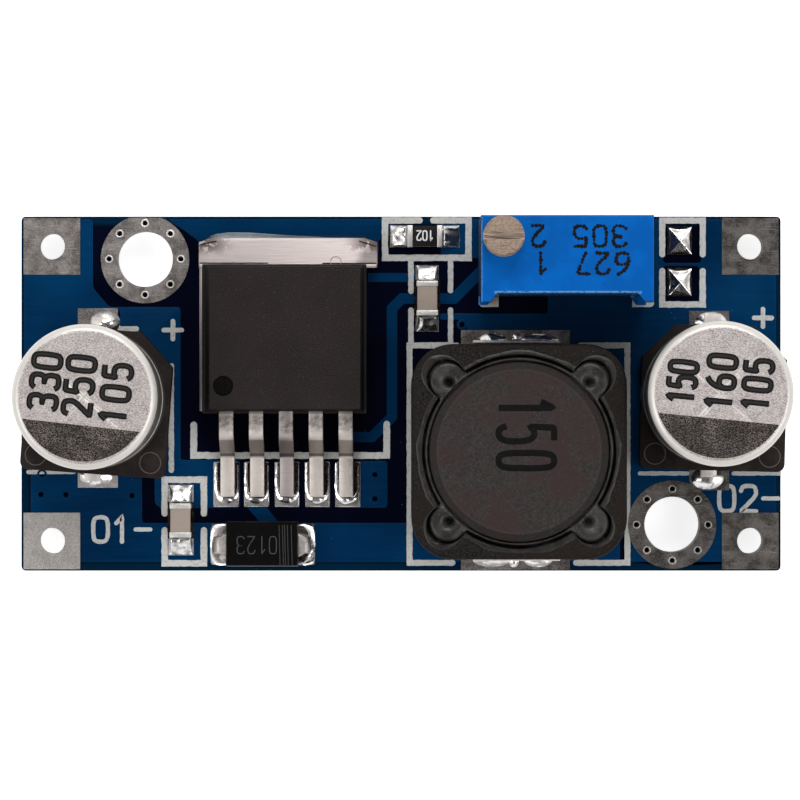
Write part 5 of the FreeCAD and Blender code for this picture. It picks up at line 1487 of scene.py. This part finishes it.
can_metal, black_print, base_plastic = can_finish(), black_print_finish(), base_finish()
figure_print = figure_print_finish()
mould_marks = ink_finish("mould marks", paint(40, 34, 32), paint(78, 68, 63))
joints = []
for kind, (x, y, _) in CAPACITORS.items():
    top_x, top_y, top_turn = CAN_TOPS[kind]
    keep(f"{kind}_can", can_shape((x, y), (top_x, top_y)), can_metal,
         stands_for=[f"{kind}_capacitor_can"])
    segment = segment_outline(place_at(top_x, top_y + 0.1, top_turn), CHORDS[kind])
    keep(f"{kind}_segment", flat_sheet([segment], CAN_TOP - 0.012, 0.022, 0.004), black_print)
    keep(f"{kind}_figures", pen(capacitor_figures(kind), 0.33, 0.05, CAN_TOP, figure_print), figure_print,
         smooth=60)
    keep(f"{kind}_base", base_shape(kind), base_plastic, stands_for=[f"{kind}_capacitor_base"])
    keep(f"{kind}_base_marks", base_marks(kind), mould_marks)
    for pole, flip in (("positive", 0), ("negative", 180)):
        keep_softened(f"{kind}_{pole}_lead", f"{kind}_capacitor_{pole}_lead", 0.05, lead_tin)
        spot = place_at(*CAPACITOR_PADS[kind], flip)
        if (kind, pole) == ("input", "positive"):
            joints.append(dome(0.86, 0.7, 0.36, spot @ Matrix.Translation((0.4, 4.3, 0)), 1.7))
        else:
            joints.append(dome(0.95, 0.66, 0.3, spot @ Matrix.Translation((0.1, 4.45, 0)), x + flip))


def rubber_finish():
    """Moulded black rubber with a bloom of talc."""
    finish = Finish("rubber")
    bloom = finish.grain(0.8, 4, roughness=0.65).between(0.45, 0.7)
    fine = finish.grain(0.1, 2)
    return finish.set(Base_Color=finish.blend(bloom, paint(24, 23, 23), paint(74, 72, 70)), Roughness=0.75,
                      Normal=finish.relief(fine, 0.01))


def foil_finish():
    """The edge of wound foil and paper: fine rings."""
    finish = Finish("wound foil")
    turns = finish.grain(detail=2, where=finish.stretch(0.08, 0.08, 3)).between(0.35, 0.65)
    return finish.set(Base_Color=finish.blend(turns, paint(176, 160, 128), paint(206, 204, 200)),
                      Metallic=0.6 * turns, Roughness=0.5, Normal=finish.relief(turns, 0.02))


dress(rubber_finish(), "input_capacitor_bung", "output_capacitor_bung", "trimmer_seal_ring")
dress(foil_finish(), "input_capacitor_roll", "output_capacitor_roll")


# Power inductor
# A ferrite drum wound with copper stands in the round bore of a square ferrite shield. Black glue
# fills the gap between them and the four ears of the bore, and two tinned strips turn up its sides.

INDUCTOR = (6.60, -3.25)
INDUCTOR_PADS = (6.57, -3.24)
DRUM_RADIUS, DRUM_LOW, DRUM_TOP = 5.05, 2.77, 10.07
FLANGE, POST_RADIUS = 1.1, 2.4
SHIELD_TOP, BORE_RADIUS = 10.29, 5.45
EAR_RADIUS, EAR_CENTRE = 1.1, 5.8
GLUE_LOW = 9.04


def ferrite_finish(name, dark, light, cloud_colour, glint, rough):
    """Pressed and sintered ferrite: granular, warm dark grey, with reddish clouds and painted glints."""
    finish = Finish(name)
    grit = finish.grain(0.13, 4, roughness=0.75)
    cloud = finish.grain(2.6, 4, roughness=0.55).between(0.42, 0.6)
    glints = 1 - finish.cells(0.22).between(0.03, 0.1)
    colour = finish.blend(grit.between(0.3, 0.7), dark, light)
    colour = finish.blend(cloud * 0.75, colour, cloud_colour)
    finish.set(Roughness=rough + 0.2 * grit, Specular_IOR_Level=0.06, Normal=finish.relief(grit, 0.016))
    # Painted glints: light specks in the colour.
    return finish, finish.blend(glints * glint, colour, paint(150, 144, 136))


def drum_finish():
    """The drum's ferrite, darker and smoother on its chamfer with painted shade, with a pale line round its
    face that is a painted highlight.
    """
    finish, colour = ferrite_finish("drum ferrite", paint(38, 35, 35), paint(58, 54, 52), paint(54, 41, 42),
                                    0.45, 0.5)
    across, along = finish.axis("X") - INDUCTOR[0], finish.axis("Y") - INDUCTOR[1]
    radius = (across * across + along * along) ** 0.5
    chamfer = radius.between(4.52, 4.68)
    line = radius.between(4.5, 4.56) - radius.between(4.6, 4.68)
    # Painted shade on the chamfer, and a painted highlight along its inner edge.
    colour = finish.blend(chamfer * 0.45, colour, paint(34, 33, 31))
    finish.set(Base_Color=finish.blend(line * 0.14, colour, paint(84, 80, 76)))
    return finish


def drum_shape():
    """The drum, with a shallow chamfer round its upper face."""
    edge = 0.06
    profile = [(0, DRUM_LOW), (DRUM_RADIUS - edge, DRUM_LOW), (DRUM_RADIUS, DRUM_LOW + edge),
               (DRUM_RADIUS, DRUM_LOW + FLANGE), (POST_RADIUS, DRUM_LOW + FLANGE),
               (POST_RADIUS, DRUM_TOP - FLANGE), (DRUM_RADIUS, DRUM_TOP - FLANGE),
               (DRUM_RADIUS, DRUM_TOP - 0.24), (DRUM_RADIUS - 0.04, DRUM_TOP - 0.17),
               (DRUM_RADIUS - 0.42, DRUM_TOP - 0.04), (DRUM_RADIUS - 0.47, DRUM_TOP), (0, DRUM_TOP)]
    shape = lathe(profile, 128)
    shape.transform(place_at(*INDUCTOR))
    return shape


def bore_reach(turn):
    """How far the bore's wall is from its middle in a direction, ears included."""
    nearest = (turn - math.pi / 4) % (math.pi / 2)
    off = min(nearest, math.pi / 2 - nearest)
    sideways = EAR_CENTRE * math.sin(off)
    if sideways >= EAR_RADIUS:
        return BORE_RADIUS
    return max(BORE_RADIUS, EAR_CENTRE * math.cos(off) + math.sqrt(EAR_RADIUS ** 2 - sideways ** 2))


def dip(distance, width):
    return math.exp(-(distance / width) ** 2)


def glue_shape():
    """The bead of glue: a ridge between two grooves all round, a thin skin that laps over the shield's
    top, and in each ear of the bore a rounded ring with a deep pit."""
    shape = bmesh.new()
    turns, steps = 420, 30
    upper, lower = [], []
    for index in range(turns):
        turn = 2 * math.pi * index / turns
        reach = bore_reach(turn)
        wave, sway, fine = (noise.noise(Vector((math.cos(turn) * often, math.sin(turn) * often, seed)))
                            for often, seed in ((2.4, 0.3), (3.7, 7.1), (14, 4.3)))
        lap = 0.2 + 0.26 * max(0, sway + 0.25) + 0.04 * fine
        slack = max(0.0, -math.sin(turn) - 0.55) * 0.9
        in_ear = min(1.0, max(0.0, (reach - BORE_RADIUS) / 0.5))
        tops, bottoms = [], []
        inner, outer = DRUM_RADIUS - 0.03, reach + lap
        for step in range(steps + 1):
            radius = inner + (outer - inner) * step / steps
            x, y = radius * math.cos(turn), radius * math.sin(turn)
            ear_x, ear_y = (math.copysign(EAR_CENTRE * math.sqrt(0.5), value) for value in (x, y))
            from_ear = math.hypot(x - ear_x, y - ear_y)
            gap = (radius - DRUM_RADIUS) / (BORE_RADIUS - DRUM_RADIUS)
            narrow = (9.98 + 0.05 * wave + 0.03 * fine - 0.3 * dip(gap - 0.05, 0.12)
                      + 0.16 * dip(gap - 0.4, 0.3) * (1 - slack) - 0.5 * dip(gap - 0.95 - 0.15 * sway, 0.26)
                      - 0.5 * slack * dip(gap - 0.5, 0.5))
            ridge = 10.02 + 0.12 * dip(from_ear - 0.6, 0.5) + 0.03 * fine + 0.05 * wave
            ridge -= 0.4 * dip(reach - radius - 0.06, 0.16)
            pit = 0.6 * dip(math.hypot(x - ear_x * 0.95, (y - ear_y * 0.95) * 1.1), 0.25)
            wide = ridge - pit - 0.2 * dip(radius - DRUM_RADIUS - 0.03, 0.06)
            level = narrow + (wide - narrow) * in_ear
            over = (radius - reach) / lap
            if over > -0.25:
                round_off = math.sqrt(max(0.0, 1 - max(0.0, over) ** 2))
                skin = SHIELD_TOP + (0.06 + 0.03 * fine) * round_off - 0.015
                level += (skin - level) * min(1.0, (over + 0.25) / 0.25)
            tops.append(shape.verts.new((x, y, level)))
            bottoms.append(shape.verts.new((x, y, GLUE_LOW if over < -0.02 else SHIELD_TOP - 0.05)))
        upper.append(tops)
        lower.append(bottoms)
    for index in range(turns):
        after = (index + 1) % turns
        top, next_top, floor, next_floor = upper[index], upper[after], lower[index], lower[after]
        for step in range(steps):
            shape.faces.new((top[step], top[step + 1], next_top[step + 1], next_top[step]))
            shape.faces.new((floor[step + 1], floor[step], next_floor[step], next_floor[step + 1]))
        shape.faces.new((top[0], next_top[0], next_floor[0], floor[0]))
        shape.faces.new((next_top[-1], top[-1], floor[-1], next_floor[-1]))
    bmesh.ops.recalc_face_normals(shape, faces=shape.faces)
    shape.transform(place_at(*INDUCTOR))
    return shape


def glue_finish():
    """Cured black glue: smooth and glossy, painted lighter on its ridges and near black in its grooves as
    light and shade, with dust that settled in its low parts.
    """
    finish = Finish("black glue")
    ripples = finish.grain(0.35, 3)
    dust = finish.grain(0.08, 3, roughness=0.7).between(0.58, 0.72)
    skin = finish.grain(0.8, 3).between(0.4, 0.62)
    # Painted light and shade: the raised parts of the bead are lighter and its grooves near black.
    raised = finish.axis("Z").between(9.75, 10.0)
    colour = finish.blend(0.5 * skin + 0.5 * raised, paint(4, 4, 4), paint(52, 49, 48))
    lapped = finish.axis("Z").between(10.27, 10.33)
    colour = finish.blend(lapped * 0.8, colour, paint(30, 27, 25))
    colour = finish.blend(dust * (0.6 - 0.25 * lapped), colour, paint(112, 105, 99))
    return finish.set(Base_Color=colour, Roughness=0.3 + 0.3 * dust + 0.1 * skin, Specular_IOR_Level=0.3,
                      Normal=finish.relief(ripples, 0.02))


def terminal_joint(flip, seed):
    """Three domes of solder on a pad, against the strip that turns up the shield's side."""
    spot = place_at(*INDUCTOR_PADS, flip)
    return [dome(half_x, half_y, crest, spot @ Matrix.Translation((x, y, 0)), seed + x)
            for x, y, half_x, half_y, crest in ((-1.3, 6.24, 0.85, 0.5, 0.3), (1.35, 6.24, 1.15, 0.48, 0.3),
                                                (0.1, 6.4, 0.3, 0.36, 0.16))]


shield_ferrite, shield_colour = ferrite_finish("shield ferrite", paint(4, 4, 4), paint(42, 39, 37),
                                               paint(32, 26, 23), 0.5, 0.55)
shield_ferrite.set(Base_Color=shield_colour)
dress(shield_ferrite, "inductor_shield_ring")
keep("inductor_drum", drum_shape(), drum_finish(), stands_for=["inductor_drum_core"])
keep("inductor_glue_bead", glue_shape(), glue_finish(), stands_for=["inductor_glue"], smooth=70)
stencil = dark_print("stencil ink", 15)
inductor_paths = [path for figure, y in zip("150", (-0.77, -2.24, -3.74))
                  for path in figure_paths(figure, 3.1, (7.0, y), -90, width_share=0.46)]
keep("inductor_figures", pen(inductor_paths, 0.36, 0.02, DRUM_TOP, stencil), stencil, smooth=60)
for kind in ("output", "switch"):
    keep_softened(f"inductor_{kind}_strip", f"inductor_{kind}_terminal", 0.05, lead_tin)
joints += terminal_joint(0, 3.0) + terminal_joint(180, 8.0)
keep("power_joints", gather(joints), solder, stands_for=["power_part_solder"], smooth=60)


def winding_finish():
    """Enamelled copper wire, wound in close turns."""
    finish = Finish("wound copper wire")
    turns = finish.node("ShaderNodeTexWave", {"wave_type": "BANDS", "bands_direction": "Z"},
                        {"Vector": finish.stretch(1.4, 1.4, 1.4), "Scale": 1.0, "Distortion": 0.3}, "Fac")
    return finish.set(Base_Color=finish.blend(turns, paint(96, 40, 20), paint(206, 116, 66)), Metallic=0.8,
                      Roughness=0.3, Coat_Weight=0.5, Normal=finish.relief(turns, 0.08))


dress(winding_finish(), "inductor_winding")


# Trimmer
# A blue plastic housing with a slotted brass screw at one corner. The screw turns a toothed wheel
# inside, which carries a wiper over a resistor plate. Dark dotted figures are printed on its top.

TRIMMER_TOP = 12.5
HOUSING_NEAR = 5.61
HOUSING_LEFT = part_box("trimmer_housing")[0][0] / MM
SCREW_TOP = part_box("trimmer_screw")[1][2] / MM


def housing_finish():
    """Smooth blue plastic with fine pale dust, a painted highlight along its left and near edges, and painted
    shade on its walls.
    """
    finish = Finish("trimmer plastic")
    cloud = finish.grain(1.5, 3).between(0.4, 0.62)
    dust = 1 - finish.cells(0.32).between(0.03, 0.1)
    fine = finish.grain(0.12, 3)
    patch = finish.grain(1.1, 3, roughness=0.6).between(0.5, 0.62)
    colour = finish.blend(cloud, paint(0, 80, 156), paint(0, 88, 168))
    colour = finish.blend(dust * patch * 0.7, colour, paint(100, 150, 205))
    wall = 1 - abs(finish.facing_up()).between(0.1, 0.5)
    # Painted highlight: pale blue along the housing's left and near edges, broken up by noise.
    across = finish.axis("X")
    left = 1 - (across - HOUSING_LEFT).between(0.04, 0.09)
    near = 1 - abs(finish.axis("Y") - HOUSING_NEAR).between(0.05, 0.1)
    near = near * across.between(5.1, 5.3) * (1 - across.between(13.2, 13.4))
    highlight_breakup = finish.grain(0.16, 3).between(0.38, 0.5)
    colour = finish.blend((left * 0.5 + near * 0.65) * highlight_breakup, colour, paint(104, 160, 205))
    # Painted shade: the walls are darkened to deep blue.
    colour = finish.blend(wall * 0.93, colour, paint(0, 12, 34))
    return finish.set(Base_Color=colour, Roughness=0.34 + 0.1 * fine + 0.2 * wall, Specular_IOR_Level=0.08,
                      Normal=finish.relief(fine, 0.006))


def brass_finish():
    """Turned brass, dull and sandy, with a fine turned grain and rubbed spots, and a pale streaky floor in
    its slot that is painted light.
    """
    finish = Finish("dull brass")
    sand = finish.grain(0.11, 4, roughness=0.7)
    rubbed = finish.grain(0.5, 3).between(0.42, 0.6)
    turned = finish.grain(detail=2, where=finish.stretch(1.2, 0.06, 0.5, turn=-6)).between(0.55, 0.7)
    colour = finish.blend(sand.between(0.32, 0.68), paint(132, 114, 100), paint(176, 158, 143))
    colour = finish.blend(rubbed * 0.4, colour, paint(150, 132, 118))
    colour = finish.blend(turned * 0.65, colour, paint(80, 66, 55))
    # Painted light: the slot's floor is given a pale streaky colour, lifting it out of the slot's shade.
    deep = 1 - finish.axis("Z").between(SCREW_TOP - 0.5, SCREW_TOP - 0.2)
    drag = finish.grain(detail=3, where=finish.stretch(1.5, 0.05, 0.5, turn=-3)).between(0.42, 0.56)
    floor = finish.blend(drag, paint(120, 104, 92), paint(238, 222, 206))
    return finish.set(Base_Color=finish.blend(deep * 0.85, colour, floor), Metallic=1.0,
                      Roughness=0.42 + 0.2 * sand, Normal=finish.relief(sand, 0.02))


def dot_tree():
    """Flat round dots of ink in an even row along every path, each a little off its place."""
    nodes, given = pattern_tree("dotted print", "Spacing", "Dot", "Rise", "Wander")
    path = nodes.shape("MeshToCurve", Mesh=given["Geometry"])
    points = nodes.shape("CurveToPoints", "LENGTH", Curve=path, Length=given["Spacing"])
    wander = nodes.node("FunctionNodeRandomValue", {"data_type": "FLOAT_VECTOR"},
                        {0: (-1, -1, 0), 1: (1, 1, 0), "Seed": 7})
    offset = nodes.node("ShaderNodeVectorMath", {"operation": "SCALE"},
                        {0: wander, "Scale": given["Wander"]})
    points = nodes.shape("SetPosition", Geometry=points, Offset=offset)
    dot = nodes.shape("MeshCylinder", Vertices=12, Radius=given["Dot"], Depth=given["Rise"])
    size = nodes.node("FunctionNodeRandomValue", {"data_type": "FLOAT"}, {2: 0.8, 3: 1.2, "Seed": 3}, 1)
    spread = nodes.shape("InstanceOnPoints", Points=points, Instance=dot, Scale=size)
    return finish_tree(nodes, spread, given)


print_ink = dark_print("navy print", 20)
print_ink.set(Base_Color=paint(2, 4, 28))
trimmer_paths = []
for label, x, y in (("2", 7.61, 8.73), ("305", 11.02, 8.73), ("1", 7.75, 7.21), ("627", 11.18, 7.21)):
    trimmer_paths += figure_paths(label, 1.15, (x, y), 180, step=0.94)
dots = run_pattern(dot_tree(), path_mesh(trimmer_paths), {
    "Spacing": 0.185, "Dot": 0.104, "Rise": 0.02, "Wander": 0.02, "Material": print_ink.material})
bmesh.ops.translate(dots, verts=dots.verts, vec=(0, 0, TRIMMER_TOP))
keep("trimmer_figures", dots, print_ink)
brass = brass_finish()
dress(housing_finish(), "trimmer_housing")
dress(brass, "trimmer_screw", "trimmer_wiper")


def wheel_finish():
    """Milky self-lubricating plastic."""
    finish = Finish("wheel plastic")
    cloud = finish.grain(0.6, 3)
    return finish.set(Base_Color=finish.blend(cloud, paint(206, 204, 192), paint(224, 222, 212)),
                      Roughness=0.4, Normal=finish.relief(finish.grain(0.15), 0.006))


def resin_finish():
    """Poured blue-grey sealing resin."""
    finish = Finish("sealing resin")
    cloud = finish.grain(0.9, 3)
    bubbles = 1 - finish.cells(0.5).between(0.05, 0.16)
    return finish.set(Base_Color=finish.blend(cloud, paint(40, 70, 110), paint(56, 92, 134)), Roughness=0.25,
                      Normal=finish.relief(bubbles, 0.03))


dress(wheel_finish(), "trimmer_worm_wheel")
dress(resin_finish(), "trimmer_sealing_cover")
dress(lead_tin, "trimmer_pin_1", "trimmer_pin_2", "trimmer_pin_3")
dress(solder, "trimmer_solder")
